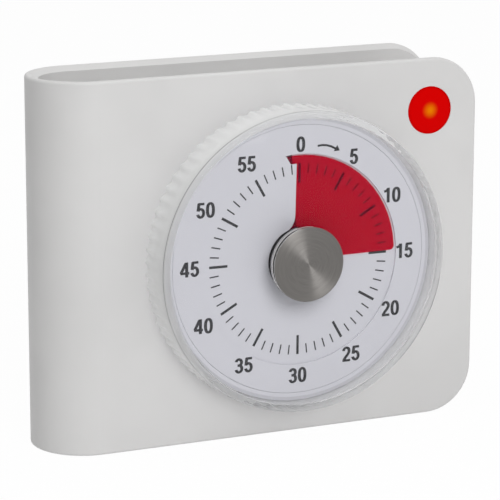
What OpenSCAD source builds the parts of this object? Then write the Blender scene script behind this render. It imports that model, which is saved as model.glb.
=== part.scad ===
// Visual countdown timer: a book-shaped housing that stands on its lower edges, with a raised
// dial under a clear turning cap, a red film disc that winds through a slit in the dial, and an
// alarm lamp.
//
// Frame: millimetres, +Z up, the viewer stands at -Y and +X is to the viewer's right. The origin
// is at the bottom centre of the whole timer's bounding box. Most sub-parts are drawn in the face
// frame: x to the right, y up, z towards the viewer, with z = 0 on the front panel's outer face.

/* [Housing] */
// Width of the housing, from the bend to the free edges
body_w = 158; // [156:1:170]
// Height of the housing
body_h = 127; // [125:1:136]
// Depth over both panels
body_d = 37; // [36.5:0.5:42]
// Thickness of the panels and of the bend between them
wall = 4.6; // [4.4:0.1:4.8]
// Radius of the free corners
corner_r = 16.8; // [15:0.2:19]
// Radius that rounds the outer edges
edge_r = 0.9; // [0.5:0.1:1.2]
// Width of the flat land on the panels' edges
rim_land = 0.9; // [0.7:0.1:1.2]
// Fall of the panels' edges from that land towards the inside
rim_drop = 1.5; // [1:0.1:1.8]

/* [Dial] */
// Distance of the dial's centre to the right of the housing's middle
dial_x = 6.8; // [2:0.2:8]
// Distance of the dial's centre below the housing's middle
dial_drop = 0.3; // [-0.5:0.1:0.8]
// Height of the dial face in front of the panel
dial_proud = 9.9; // [9:0.1:11]
// Outer radius of the drum that carries the dial
drum_r = 48.6; // [48.2:0.1:48.8]
// Radius of the dial plate
plate_r = 46; // [45.5:0.1:47]
// Radius of the hole in the middle of the dial plate
plate_bore_r = 11.3; // [11.2:0.1:11.8]
// Thickness of the dial's spiral skin
skin_t = 0.35; // [0.3:0.01:0.4]
// Rise of the spiral over one turn
pitch = 1.0; // [1:0.05:1.2]
// Radius of the red film disc
film_r = 35.6; // [34:0.2:36.2]
// Thickness of the red film disc
film_t = 0.15; // [0.12:0.01:0.2]
// Gap between the film and the skin below it
film_gap = 0.25; // [0.2:0.01:0.27]
// Minutes that the timer is set to
set_minutes = 15; // [10:1:50]

/* [Clear cap] */
// Outer radius over the knurls
cap_r = 52.2; // [51.8:0.1:54]
// Inner radius of the skirt
cap_bore_r = 49.2; // [49.1:0.1:49.6]
// Height of the cap's front in front of the panel
cap_proud = 17; // [16.4:0.1:18.5]
// Thickness of the cap's clear front
cap_t = 1.5; // [1.2:0.1:1.8]
// Number of knurls round the skirt
knurl_count = 75; // [60:1:80]
// Depth of the knurls at the skirt's open end
knurl_d = 0.55; // [0.5:0.05:0.7]
// Taper of the skirt, which makes the knurls fade towards the front
cap_draft = 0.5; // [0.2:0.1:0.5]

/* [Knob] */
// Radius of the steel knob disc
knob_r = 12.85; // [11:0.05:15]
// Thickness of the steel knob disc
knob_t = 1.6; // [1.4:0.1:2.2]
// Radius of the black hub under the cap
hub_r = 11; // [10.4:0.1:11.1]
// Radius of the spindle
spindle_r = 2; // [1.8:0.1:2.2]

/* [Alarm lamp] */
// Distance of the lamp's centre from the free edge
lamp_inset = 18.2; // [17:0.1:20]
// Height of the lamp's centre below the top edge
lamp_drop = 18.1; // [17:0.1:19]
// Radius of the red lens
lens_r = 8.25; // [7:0.05:8.5]
// Height of the lens's crown in front of the panel
lens_crown = 0.6; // [0.2:0.1:1]

/* [Inner frame] */
// Gap between the inner frame and the free edge on the right
frame_gap_right = 9; // [7:0.5:11]
// Gap between the inner frame and the base
frame_gap_base = 3; // [2:0.5:4]
// Thickness of the inner frame's walls
frame_t = 2; // [1.6:0.1:2.2]

/* [Battery compartment] */
// Radius of one battery
cell_r = 7.1; // [6.9:0.05:7.1]
// Length of one battery without its nub
cell_len = 49.2; // [48:0.1:50]
// Thickness of the battery door
door_t = 2.6; // [2.4:0.1:2.8]
// Distance of the compartment's centre from the housing's middle
bay_x = 6.8; // [4:0.2:9]
// Height of the compartment's centre above the base
bay_z = 24; // [23.5:0.1:25]

/* [Works] */
// Side of the square works case
works_side = 53; // [52:0.1:54]
// Depth of the works case
works_d = 15; // [14.8:0.1:15.4]
// Teeth on the centre wheel
centre_teeth = 60; // [58:2:60]
// Teeth on the intermediate wheel
second_teeth = 50; // [46:2:50]
// Teeth on the third wheel
third_teeth = 30; // [28:2:30]
// Teeth on the wheels' pinions
pinion_teeth = 10; // [10:1:11]
// Teeth on the rotor's pinion
rotor_teeth = 8; // [8:1:9]

/* [Circuit board] */
// Width of the circuit board
board_w = 27; // [26:0.5:28]
// Height of the circuit board
board_h = 38; // [37:0.5:39]
// Radius of the sounder
sounder_r = 9; // [8:0.5:9.5]
// Travel of the sound switch to each side of its middle place
switch_travel = 2; // [1.5:0.1:2.4]

/* [Hidden] */

$fn = 64;
arc_steps = 4;
over = 1;
join = 0.1;

// Clearances
run_gap = 0.06;
fit_gap = 0.03;
small_gap = 0.1;
slide_gap = 0.2;
air_gap = 0.4;

// Depths of the housing in the face frame
inner_z = -wall;
back_z = -body_d;
back_inner_z = wall - body_d;
front_y = (cap_proud + knob_t - body_d) / 2;
bend_x = (body_d - body_w) / 2;

// Screws: radius of the shank, then radius and height of the head
screw_r = 1.4;
head_r = 2.6;
head_h = 1.6;
cross_w = 0.7;
thread_r = screw_r + fit_gap;
clear_r = screw_r + small_gap;
head_room = 0.3;
head_sink = 0.6;

// Dial
dial_z = body_h / 2 - dial_drop;
film_open = 4;
film_lag = 0.3;
film_corner_r = 1.6;
film_in_r = hub_r + small_gap;
skin_start = -4;
skin_steps = 60;
ring_r = film_r + 0.6;
skin_lap = 0.4;
skin_drop = 0.03;
ring_t = pitch + skin_t + join;
lip_x = -1.1;
lip_low_x = -1.6;
lip_y = 15.6;
lip_r = 6.5;
notch_r = film_r - 2.7;
notch_x = -5;
notch_lean = 0.6;
dial_low_z = dial_proud - ring_t;
film_room = 2 * pitch + air_gap;
floor_z = dial_proud - film_room - 1.1;
floor_t = 1.8;
drum_wall = 6;
drum_bore_r = drum_r - drum_wall;
spigot_r = drum_bore_r + join;
spigot_t = 1.8;
spigot_in_r = spigot_r - spigot_t;
panel_bore_r = spigot_r + 0.3;
drum_screw_depth = 4.8;
drum_screw_r = drum_r - drum_wall / 2;
drum_screw_angles = [30, 150, 210, 330];
rest_angle = 6 * set_minutes - film_lag;

// Hub and spindle
hub_low_z = floor_z + 1.2;
cap_in_z = cap_proud - cap_t;
hub_spigot_r = 5;
hub_screw_l = 5.5;
cap_edge = 0.8;
knob_edge = 0.3;
hub_foot_w = 1.2;
hub_foot_h = 0.3;
collar_t = 1.2;
hub_seat_z = cap_in_z - 1;
spindle_top_z = hub_seat_z - 1.5;
spindle_flat = 0.5;
bush_r = 4;
bush_flange_r = 5.6;
bush_flange_t = 0.8;

// Works: case, wheels from the front to the back, and where their arbors stand
gear_m = works_side / 113;
works_wall = 1.2;
works_z = floor_z - floor_t - 2.2;
works_cover_z = works_z - 1.5;
works_back_z = works_z - works_d;
works_floor_z = works_back_z + works_wall;
works_corner_r = 6;
works_inner = works_side - 2 * works_wall;
post_at = works_side / 2 - 3.9;
post_r = 2.6;
post_screw_depth = 2.6;
wheel_t = 1.3;
centre_wheel_z = works_z - 4.2;
second_wheel_z = centre_wheel_z - 2.9;
third_wheel_z = second_wheel_z - 2.7;
stator_z = second_wheel_z - 0.6;
tooth_side = 0.3;
tooth_top = 0.85;
tooth_foot = 1.2;
tooth_half = 0.2;
tooth_root_half = 0.27;
tooth_tip_half = 0.1;
window_at = 0.61;
window_r = 0.21;
centre_pr = gear_m * centre_teeth / 2;
second_pr = gear_m * second_teeth / 2;
third_pr = gear_m * third_teeth / 2;
pinion_pr = gear_m * pinion_teeth / 2;
rotor_pr = gear_m * rotor_teeth / 2;
second_dir = 135;
third_dir = 18;
rotor_dir = -20;
second_at = polar(centre_pr + pinion_pr, second_dir);
third_at = second_at + polar(second_pr + pinion_pr, third_dir);
rotor_at = third_at + polar(third_pr + rotor_pr, rotor_dir);
arbor_r = 0.9;
pivot_r = 0.6;
bearing_h = 1.2;
collar_r = 3.2;
clip_t = 0.6;
clip_r = 3.4;
clip_mouth = 2.2;
spring_h = 0.85;
spring_t = 0.25;
spring_rim_r = 5;
clip_z = centre_wheel_z - wheel_t - spring_h;
groove_depth = 0.45;
bearing_wall = 0.7;
magnet_r = 3;
magnet_h = 3;
stator_t = 0.8;
stator_ring = 1.8;
stator_arm = 4;
coil_r = 4.2;
coil_len = 18;
coil_lip = 0.6;
coil_lip_t = 1;
coil_room = 1.2;
coil_x = works_inner / 2 - coil_room - coil_lip - coil_r;
coil_low_y = post_r + 2 - post_at;
core_w = 4;
core_end = 1.8;
core_post_r = 1.2;

// Lamp
lamp_x = body_w / 2 - lamp_inset;
lamp_z = body_h - lamp_drop;
lens_flange_r = lens_r + 1;
lens_flange_t = 1;
lens_wall = 1.6;
lens_face_t = 1.2;
holder_r = lens_flange_r + 0.9;
holder_in_r = lens_r + small_gap;
holder_floor_t = 1.3;
holder_d = 10;
led_r = 2.5;
led_h = 8.6;
led_rim = 0.4;
led_rim_t = 1;
leg_r = 0.25;
leg_pitch = 2.54;
leg_len = 3;
lamp_end_z = inner_z - holder_d - leg_len;

// Inner frame: it starts where the bend ends, and its top lies just above the works
frame_left = bend_x;
frame_right = body_w / 2 - frame_gap_right;
works_room = 0.4;
frame_top = dial_z + works_side / 2 + works_room + frame_t;
frame_w = frame_right - frame_left;
frame_h = frame_top - frame_gap_base;
frame_r = 9;
frame_at = [(frame_left + frame_right) / 2, (frame_top + frame_gap_base) / 2];
boss_r = 3.7;
boss_inset = 6.4;
thread_end_z = -1.6;
tongue_w = 2 * sqrt(pow(spigot_in_r, 2) - pow(frame_top - dial_z, 2)) - 2 * air_gap;
lead_hole_r = 1.6;
lead_r = 0.9;
lead_bend_r = 2.4;
lead_shift = 10;
lead_drop = 3;
lead_fall = 6;
lead_under = 5;
lead_room = 8;
lead_end_x = 5;
lead_end_y = 6;
lead_x = lamp_x - lead_shift;
lead_z = lamp_end_z - lead_drop;
lead_y = frame_top - lead_under;

// Battery compartment
nub_r = 2.7;
nub_h = 1.3;
contact_t = 0.4;
coil_spring_len = 6.2;
spring_wire_r = 0.35;
spring_wire_sides = 6;
spring_turns = 4;
spring_turn_steps = 12;
spring_big_r = 4.4;
spring_small_r = 2.6;
contact_side = 9.6;
cell_edge = 0.5;
tray_wall = 1.3;
tray_corner_r = 1.6;
cell_pitch = 2 * cell_r + 0.5;
bay_len = cell_len + nub_h + coil_spring_len + 2 * contact_t + 2 * fit_gap;
cell_back = -bay_len / 2 + contact_t + coil_spring_len + fit_gap;
bay_h = cell_pitch + 2 * cell_r + 0.8;
cell_room = cell_r + 0.35;
cell_z = back_z + door_t + cell_room;
tray_floor_z = cell_z + cell_room;
door_ledge = 1.6;
door_w = bay_len + 2 * door_ledge;
door_h = bay_h + 2 * door_ledge;
door_corner_r = 1.8;
hinge_y = (door_t - door_h) / 2;
hinge_z = back_z + door_t / 2;
pin_r = 0.7;
pin_l = 1.4;
scoop_r = 7;
scoop_d = 1.1;

// Circuit board
board_t = 1.6;
board_room = 6.4;
board_back_z = back_inner_z + board_room;
board_front_z = board_back_z + board_t;
board_side_gap = 3;
board_top_gap = 11;
board_x = frame_left + frame_t + board_side_gap + board_w / 2;
board_y = frame_top - frame_t - board_top_gap - board_h / 2;
board_post_r = 2.4;
board_post_inset = 3.2;
board_screw_depth = 5.6;
chip_w = 7.5;
chip_l = 10.2;
chip_h = 1.6;
chip_lift = 0.1;
chip_drop = 2;
chip_pins = 8;
chip_pin_step = 1.27;
chip_pin = [1.2, 0.4, 0.5];
can_r = 1.5;
can_len = 6.2;
can_rise = 8;
can_neck_r = 1.1;
can_neck_l = 0.8;
sounder_h = 5.6;
sounder_wall = 1;
sounder_back = 2;
sounder_port_r = 1.3;
sounder_y = board_y + board_h / 2 - sounder_r - 2.4;
sound_hole_r = 0.9;
sound_ring_r = sounder_r / 2;
switch_y = board_y - board_h / 2 + 9;
switch_w = 8;
switch_h = 4.2;
switch_slot_d = 1.8;
switch_corner_r = 0.5;
slider_w = 4;
slider_len = 7;
slider_low = 0.2;
ridge_w = 0.6;
ridge_d = 0.4;
slot_len = slider_len + 2 * switch_travel + 2 * slide_gap;
slider_recess = 1.2;
slider_room = 3;
stem_w = 2;
stem_l = 1.6;
wire_r = 0.6;
wire_sides = 8;
wire_bend_r = 2;
wire_lift = 5;
wire_low = 3;
wire_gap = 4;
wire_out = 4;
wire_rise = 8;
wire_end_x = 6;
wire_end_y = 7;
wire_end_gap = 3;

// ---------------------------------------------------------------- helpers

function polar(r, a) = [r * cos(a), r * sin(a)];

// A point on the dial, with its angle turned clockwise from twelve o'clock
function clock(r, a, z) = [r * sin(a), r * cos(a), z];

// Moves the face frame to its place in the model
module face(at = [0, 0]) {
    translate([at[0], front_y, at[1]])
    rotate([90, 0, 0])
    children();
}

// Face frame with its origin on the dial's axis
module on_dial() {
    face([dial_x, dial_z])
    children();
}

// A disc between two heights
module disc(r, low, high) {
    translate([0, 0, low])
    cylinder(r = r, h = high - low);
}

// A ring between two heights
module tube(r, bore, low, high) {
    difference() {
        disc(r, low, high);
        disc(bore, low - over, high + over);
    }
}

module round_rect(w, h, r) {
    square([w - 2 * r, h], center = true);
    square([w, h - 2 * r], center = true);
    for (sx = [-1, 1], sy = [-1, 1])
        translate([sx * (w / 2 - r), sy * (h / 2 - r)])
        circle(r = r);
}

// A block with round corners between two heights
module slab(w, h, r, low, high) {
    translate([0, 0, low])
    linear_extrude(high - low)
    round_rect(w, h, r);
}

// A pan-head screw along z: the head sits on z = 0 and the shank goes down
module screw(length, r = screw_r, slot_depth = 0.8) {
    difference() {
        disc(head_r, 0, head_h);
        for (a = [0, 90])
            rotate([0, 0, a])
            translate([-head_r * 0.6, -cross_w / 2, head_h - slot_depth])
            cube([head_r * 1.2, cross_w, slot_depth + over]);
    }
    disc(r, -length, join);
}

// Faces of a solid that is swept through rings of points
function sweep_faces(rings, sides) = concat(
    [[for (j = [0 : sides - 1]) j]],
    [[for (j = [sides - 1 : -1 : 0]) (rings - 1) * sides + j]],
    [for (i = [0 : rings - 2], j = [0 : sides - 1])
        let (k = (j + 1) % sides, a = i * sides, b = a + sides)
        each [[a + j, b + j, b + k], [a + j, b + k, a + k]]]);

module sweep(rings) {
    sides = len(rings[0]);
    polyhedron(points = [for (ring = rings) each ring],
        faces = sweep_faces(len(rings), sides), convexity = 10);
}

// A wire of round section along points in space
function unit(v) = v / norm(v);
function heading(route, i) =
    unit(route[min(i + 1, len(route) - 1)] - route[max(i - 1, 0)]);
function side_of(d) = unit(cross(abs(d[2]) > 0.9 ? [1, 0, 0] : [0, 0, 1], d));
function wire_ring(at, d, r) =
    let (u = side_of(d), v = cross(d, u))
    [for (j = [0 : wire_sides - 1])
        let (a = 360 * j / wire_sides)
        at + r * cos(a) * u + r * sin(a) * v];

module wire(route, r) {
    sweep([for (i = [0 : len(route) - 1]) wire_ring(route[i], heading(route, i), r)]);
}

// Rounds the corners of a route with short curves
function rounded(route, r) = concat(
    [route[0]],
    [for (i = [1 : len(route) - 2])
        let (p = route[i],
             a = p + r * unit(route[i - 1] - p),
             b = p + r * unit(route[i + 1] - p))
        each [for (t = [0 : 0.25 : 1]) (1 - t) * (1 - t) * a + 2 * t * (1 - t) * p + t * t * b]],
    [route[len(route) - 1]]);

// ---------------------------------------------------------------- housing

// Section of a free edge, as [depth below the outer face, distance from the edge]
function edge_section() = concat(
    [for (i = [0 : arc_steps])
        let (a = 90 * i / arc_steps)
        [edge_r * (1 - cos(a)), edge_r * (1 - sin(a))]],
    [[edge_r + rim_land, 0], [wall, rim_drop]]);

// Section of a panel between the base and the top, as [depth, height]
function panel_section() =
    let (edge = edge_section())
    concat([for (p = edge) [p[0], body_h - p[1]]],
        [for (i = [len(edge) - 1 : -1 : 0]) edge[i]]);

// Section of a corner that turns about its own centre, as [radius, depth]
function corner_section() = concat(
    [[0, 0]],
    [for (p = edge_section()) [corner_r - p[1], p[0]]],
    [[0, wall]]);

// Straight part of a panel, to the right of x = 0
module panel_bar(length) {
    rotate([90, 0, 90])
    linear_extrude(length)
    polygon([for (p = panel_section()) [p[1], -p[0]]]);
}

// One panel with its outer face on z = 0 and its body behind it
module panel(left) {
    arc_x = body_w / 2 - corner_r;
    panel_bar(arc_x);

    mirror([1, 0, 0])
    panel_bar(-left);

    translate([arc_x, corner_r, 0])
    rotate([-90, 0, 0])
    linear_extrude(body_h - 2 * corner_r)
    polygon(corner_section());

    translate([arc_x, body_h - corner_r, 0])
    rotate_extrude(angle = 90)
    polygon([for (p = corner_section()) [p[0], -p[1]]]);

    translate([arc_x, corner_r, 0])
    mirror([0, 1, 0])
    rotate_extrude(angle = 90)
    polygon([for (p = corner_section()) [p[0], -p[1]]]);
}

// Both panels and the half-round bend that joins them
module folded_sheet() {
    face()
    panel(bend_x);

    translate([0, front_y + body_d, 0])
    rotate([90, 0, 0])
    mirror([0, 0, 1])
    panel(bend_x);

    translate([bend_x, front_y + body_d / 2, 0])
    rotate([0, 0, 90])
    rotate_extrude(angle = 180)
    polygon([for (p = panel_section()) [body_d / 2 - p[0], p[1]]]);
}

frame_screw_places = [
    [frame_left + boss_inset, frame_gap_base + boss_inset],
    [frame_right - boss_inset, frame_gap_base + boss_inset],
    [frame_left + boss_inset, frame_top - boss_inset],
    [frame_right - boss_inset, frame_top - boss_inset]
];

board_screw_places = [
    for (sx = [-1, 1], sy = [-1, 1])
        [board_x + sx * (board_w / 2 - board_post_inset),
         board_y + sy * (board_h / 2 - board_post_inset)]
];

module at_each(places) {
    for (p = places)
        translate([p[0], p[1], 0])
        children();
}

module drum_screw_ring() {
    for (a = drum_screw_angles)
        translate(concat(polar(drum_screw_r, a), [0]))
        children();
}

// Cuts of the battery opening: the opening, the door's rebate with square lower corners for the
// door's hinge, and the holes for the hinge's pins
module battery_opening() {
    rebate_w = door_w + 2 * slide_gap;
    rebate_h = door_h + 2 * slide_gap;
    slab(bay_len, bay_h, 1, back_z - over, back_inner_z + over);
    slab(rebate_w, rebate_h, door_corner_r + slide_gap, back_z - over, back_z + door_t);
    translate([-rebate_w / 2, -rebate_h / 2, back_z - over])
    cube([rebate_w, rebate_h / 2, door_t + over]);
    hinge_rod(pin_r + run_gap, rebate_w + 2 * pin_l);
    finger_scoop();
}

// A rod along the door's hinge axis
module hinge_rod(r, length) {
    translate([-length / 2, hinge_y, hinge_z])
    rotate([0, 90, 0])
    cylinder(r = r, h = length);
}

module finger_scoop() {
    translate([0, door_h / 2, back_z - scoop_r + scoop_d])
    sphere(r = scoop_r);
}

module sound_holes() {
    for (a = [0 : 60 : 300])
        translate(concat(polar(sound_ring_r, a), [0]))
        disc(sound_hole_r, back_z - over, back_inner_z + over);
    disc(sound_hole_r, back_z - over, back_inner_z + over);
}

module slider_slot() {
    slab(slider_w + 2 * slide_gap, slot_len, 1, back_z - over, back_inner_z + over);
    slab(slider_w + 2 * slider_room, slot_len + 2 * slider_room, slider_room, back_z - over,
        back_z + slider_recess);
}

module housing_shell() {
    color("white")
    difference() {
        union() {
            folded_sheet();
            face()
            at_each(board_screw_places)
            disc(board_post_r, back_inner_z - join, board_back_z);
        }
        on_dial() {
            disc(panel_bore_r, inner_z - over, over);
            drum_screw_ring()
            disc(clear_r, inner_z - over, over);
        }
        face([lamp_x, lamp_z])
        disc(holder_in_r, inner_z - over, over);
        face() {
            at_each(frame_screw_places) {
                disc(clear_r, back_z - over, back_inner_z + over);
                disc(head_r + head_room, back_z - over, back_z + head_h + head_sink);
                disc(thread_r, inner_z - over, thread_end_z);
            }
            at_each(board_screw_places)
            disc(thread_r, back_inner_z, board_back_z + over);
            translate([bay_x, bay_z, 0])
            battery_opening();
            translate([board_x, switch_y, 0])
            slider_slot();
            translate([board_x, sounder_y, 0])
            sound_holes();
        }
    }
}

// Upright wall between the panels that closes off the space for the works and the batteries. A
// tongue on its top reaches into the hollow of the drum, behind the dial
module inner_frame() {
    color("gainsboro")
    face()
    difference() {
        union() {
            translate([frame_at[0], frame_at[1], 0])
            difference() {
                slab(frame_w, frame_h, frame_r, back_inner_z, inner_z);
                slab(frame_w - 2 * frame_t, frame_h - 2 * frame_t, frame_r - frame_t,
                    back_inner_z - over, inner_z + over);
            }
            at_each(frame_screw_places)
            disc(boss_r, back_inner_z, inner_z);
            translate([dial_x - tongue_w / 2, frame_top - frame_t, inner_z - over])
            cube([tongue_w, frame_t, floor_z - floor_t - fit_gap - inner_z + over]);
        }
        at_each(frame_screw_places)
        disc(clear_r, back_inner_z - over, inner_z + over);
        translate([lead_x, frame_top - frame_t - over, lead_z])
        rotate([-90, 0, 0])
        cylinder(r = lead_hole_r, h = frame_t + 2 * over);
    }
}

// ---------------------------------------------------------------- dial

// White drum that stands on the front panel and carries the dial plate, the bush and the works
module dial_drum() {
    color("whitesmoke")
    on_dial()
    difference() {
        union() {
            tube(drum_r, drum_bore_r, 0, dial_low_z);
            tube(drum_r, plate_r + small_gap, dial_low_z - join, dial_proud);
            tube(spigot_r, spigot_in_r, inner_z, floor_z);
            disc(drum_bore_r + join, floor_z - floor_t, floor_z);
            each_post()
            disc(post_r, works_z, floor_z - floor_t + join);
        }
        disc(bush_r + fit_gap, works_z, floor_z + over);
        drum_screw_ring()
        disc(thread_r, -over, drum_screw_depth + air_gap);
        each_post()
        disc(thread_r, works_z - over, works_z + post_screw_depth + air_gap);
    }
}

// Height of the spiral skin's face at an angle turned clockwise from the zero mark
function skin_level(a) = dial_proud - skin_drop - pitch * (1 - a / 360);

// A strip of the spiral between two radii, lifted off the skin's face
function spiral_ring(a, r_in, r_out, low, high) = [
    clock(r_in, a, skin_level(a) + low),
    clock(r_out, a, skin_level(a) + low),
    clock(r_out, a, skin_level(a) + high),
    clock(r_in, a, skin_level(a) + high)
];

module spiral_skin() {
    sweep([for (i = [0 : skin_steps])
        spiral_ring(skin_start + (360 - skin_start) * i / skin_steps, plate_bore_r,
            ring_r + skin_lap, -skin_t, 0)]);
}

// Plan of what is cut from the upper lip of the slit: a nearly straight edge beside the zero
// mark, a pointed notch at its outer end and a rounded corner at the hub
module lip_cut() {
    notch_low = notch_r - over;
    notch_high = ring_r + over;
    polygon([[over, 0], [over, ring_r], [lip_x, ring_r], [lip_low_x, lip_y], [lip_low_x, 0]]);
    intersection() {
        difference() {
            circle(r = ring_r);
            circle(r = notch_r);
        }
        polygon([[0, notch_low], [notch_x + notch_lean * (film_r - notch_low), notch_low],
            [notch_x + notch_lean * (film_r - notch_high), notch_high], [0, notch_high]]);
    }
    difference() {
        translate([lip_low_x - lip_r, 0])
        square([lip_r + join, lip_y]);
        translate([lip_low_x - lip_r, lip_y])
        circle(r = lip_r);
    }
}

// Dial plate: a flat ring for the numbers, and inside it a skin that climbs one pitch over the
// turn, so that its two ends leave a slit at zero for the film
module dial_plate() {
    color("white")
    on_dial()
    difference() {
        union() {
            tube(plate_r, ring_r, dial_low_z, dial_proud);
            spiral_skin();
        }
        translate([0, 0, dial_proud - pitch / 2])
        linear_extrude(pitch)
        lip_cut();
    }
}

// Outer radius of the film at an angle behind its leading edge, which has a rounded corner
function film_edge(behind) =
    let (s = film_r * behind * PI / 180)
    s >= film_corner_r ? film_r
        : film_r - film_corner_r + sqrt(max(0, pow(film_corner_r, 2) - pow(film_corner_r - s, 2)));

film_corner_a = film_corner_r / film_r * 180 / PI;
film_steps = 59;
film_angles = concat(
    [for (i = [0 : arc_steps]) film_corner_a * pow(i / (arc_steps + 1), 2)],
    [for (i = [0 : film_steps])
        film_corner_a + i * (360 - film_open - film_corner_a) / film_steps]);

// Red film disc, cut along one radius and wound through the slit like one turn of a screw
module red_film() {
    color("crimson")
    on_dial()
    sweep([for (i = [len(film_angles) - 1 : -1 : 0])
        spiral_ring(rest_angle - film_angles[i], film_in_r, film_edge(film_angles[i]),
            film_gap, film_gap + film_t)]);
}

// ---------------------------------------------------------------- cap, knob, hub and spindle

// Plan of the knurled skirt: each knurl as [share of its step, share of the groove's depth]
knurl_shape = [[0, 1], [0.12, 0.24], [0.5, 0], [0.88, 0.24]];
function knurl_points() = [
    for (i = [0 : knurl_count - 1], k = knurl_shape)
        polar(cap_r - knurl_d * k[1], 360 * (i + k[0]) / knurl_count)
];

module clear_cap() {
    front_r = cap_r - cap_draft;
    color("lightcyan", 0.35)
    on_dial()
    difference() {
        intersection() {
            translate([0, 0, air_gap])
            linear_extrude(cap_proud - air_gap)
            polygon(knurl_points());
            rotate_extrude()
            polygon([[0, 0], [cap_r, 0], [front_r, cap_proud - 2 * cap_edge],
                [front_r - cap_edge / 3, cap_proud - cap_edge / 2],
                [front_r - cap_edge, cap_proud], [0, cap_proud]]);
        }
        disc(cap_bore_r, -over, cap_in_z);
        disc(hub_spigot_r + fit_gap, cap_in_z - over, cap_proud + over);
    }
}

// Turned steel disc in front of the cap
module knob_face() {
    top = cap_proud + knob_t;
    color("silver")
    on_dial()
    rotate_extrude()
    polygon([[0, cap_proud], [knob_r - knob_edge, cap_proud], [knob_r, cap_proud + knob_edge],
        [knob_r, top - knob_edge], [knob_r - knob_edge / 2, top - knob_edge / 4],
        [knob_r - knob_edge, top], [0, top]]);
}

// Section of the spindle's driving end, round with one flat
module drive_section(r, flat) {
    difference() {
        circle(r = r);
        translate([flat, -r])
        square([2 * r, 2 * r]);
    }
}

// Black hub that carries the cap and the knob and turns inside the film
module turning_hub() {
    color("black")
    on_dial()
    difference() {
        union() {
            disc(hub_r, hub_low_z, cap_in_z);
            disc(hub_spigot_r, hub_low_z, cap_proud);
        }
        disc(head_r + slide_gap, hub_seat_z, cap_proud + over);
        disc(clear_r, spindle_top_z - over, cap_proud);
        translate([0, 0, hub_low_z - over])
        linear_extrude(spindle_top_z - hub_low_z + over)
        drive_section(spindle_r + fit_gap, spindle_r - spindle_flat + fit_gap);
        tube(hub_r + over, hub_r - hub_foot_w, hub_low_z - over, hub_low_z + hub_foot_h);
    }
}

module hub_screw() {
    color("silver")
    on_dial()
    translate([0, 0, hub_seat_z])
    screw(hub_screw_l);
}

// Steel spindle from the hub to the bearing in the works case
module spindle() {
    color("lightgray")
    on_dial()
    difference() {
        union() {
            disc(spindle_r, works_floor_z - works_wall / 2, hub_low_z);
            translate([0, 0, hub_low_z - join])
            linear_extrude(spindle_top_z - hub_low_z + join)
            drive_section(spindle_r, spindle_r - spindle_flat);
            disc(collar_r, centre_wheel_z, centre_wheel_z + collar_t);
        }
        disc(thread_r, hub_seat_z - hub_screw_l - air_gap, spindle_top_z + over);
        tube(spindle_r + over, spindle_r - groove_depth, clip_z - clip_t - run_gap,
            clip_z + run_gap);
    }
}

module spindle_bush() {
    color("goldenrod")
    on_dial()
    difference() {
        union() {
            disc(bush_r, floor_z - floor_t - bush_flange_t, floor_z);
            disc(bush_flange_r, floor_z, floor_z + bush_flange_t);
        }
        disc(spindle_r + run_gap, works_z - over, floor_z + 2 * over);
    }
}

// Snap ring in the spindle's groove, open on one side
module spindle_clip() {
    color("dimgray")
    on_dial()
    difference() {
        tube(clip_r, spindle_r - groove_depth + fit_gap, clip_z - clip_t, clip_z);
        translate([0, -clip_mouth / 2, clip_z - clip_t - over])
        cube([clip_r + over, clip_mouth, clip_t + 2 * over]);
    }
}

// ---------------------------------------------------------------- alarm lamp

module alarm_lens() {
    crown_r = (lens_r * lens_r + lens_crown * lens_crown) / (2 * lens_crown);
    color("red")
    face([lamp_x, lamp_z])
    difference() {
        union() {
            disc(lens_r, inner_z, 0);
            intersection() {
                translate([0, 0, lens_crown - crown_r])
                sphere(r = crown_r, $fn = 128);
                disc(lens_r, -join, lens_crown + over);
            }
            disc(lens_flange_r, inner_z - lens_flange_t, inner_z);
        }
        disc(lens_r - lens_wall, inner_z - lens_flange_t - over, -lens_face_t);
    }
}

// Cup behind the panel that presses the lens into its hole and holds the diode
module lamp_holder() {
    floor_top = inner_z - holder_d + holder_floor_t;
    color("whitesmoke")
    face([lamp_x, lamp_z])
    difference() {
        disc(holder_r, inner_z - holder_d, inner_z);
        disc(holder_in_r, floor_top, inner_z + over);
        disc(lens_flange_r + small_gap, inner_z - lens_flange_t - fit_gap, inner_z + over);
        for (s = [-1, 1])
            translate([s * leg_pitch / 2, 0, 0])
            disc(leg_r + small_gap, inner_z - holder_d - over, floor_top + over);
    }
}

module alarm_led() {
    base_z = inner_z - holder_d + holder_floor_t;
    color("orange")
    face([lamp_x, lamp_z]) {
        disc(led_r, base_z, base_z + led_h - led_r);
        translate([0, 0, base_z + led_h - led_r])
        sphere(r = led_r);
        disc(led_r + led_rim, base_z, base_z + led_rim_t);
        for (s = [-1, 1])
            translate([s * leg_pitch / 2, 0, 0])
            disc(leg_r, lamp_end_z, base_z + join);
    }
}

// ---------------------------------------------------------------- works

// Outline of a tooth, as [height over the pitch circle in modules, share of the tooth's step]
tooth_shape = [[-tooth_foot, -tooth_root_half], [0, -tooth_half], [tooth_top, -tooth_tip_half],
    [tooth_top, tooth_tip_half], [0, tooth_half], [-tooth_foot, tooth_root_half]];

// Outline of a toothed wheel
function tooth_outline(teeth, phase) =
    let (step = 360 / teeth, r = gear_m * teeth / 2)
    [for (i = [0 : teeth - 1], k = tooth_shape)
        polar(r + k[0] * gear_m, phase + (i + k[1]) * step)];

// Phase that puts a gap of the driven wheel on a tooth of the driver
function mesh_phase(direction, driver_teeth, driver_phase, driven_teeth) =
    let (u = (direction - driver_phase) * driver_teeth / 360)
    direction + 180 - (0.5 - (u - floor(u))) * 360 / driven_teeth;

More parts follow.
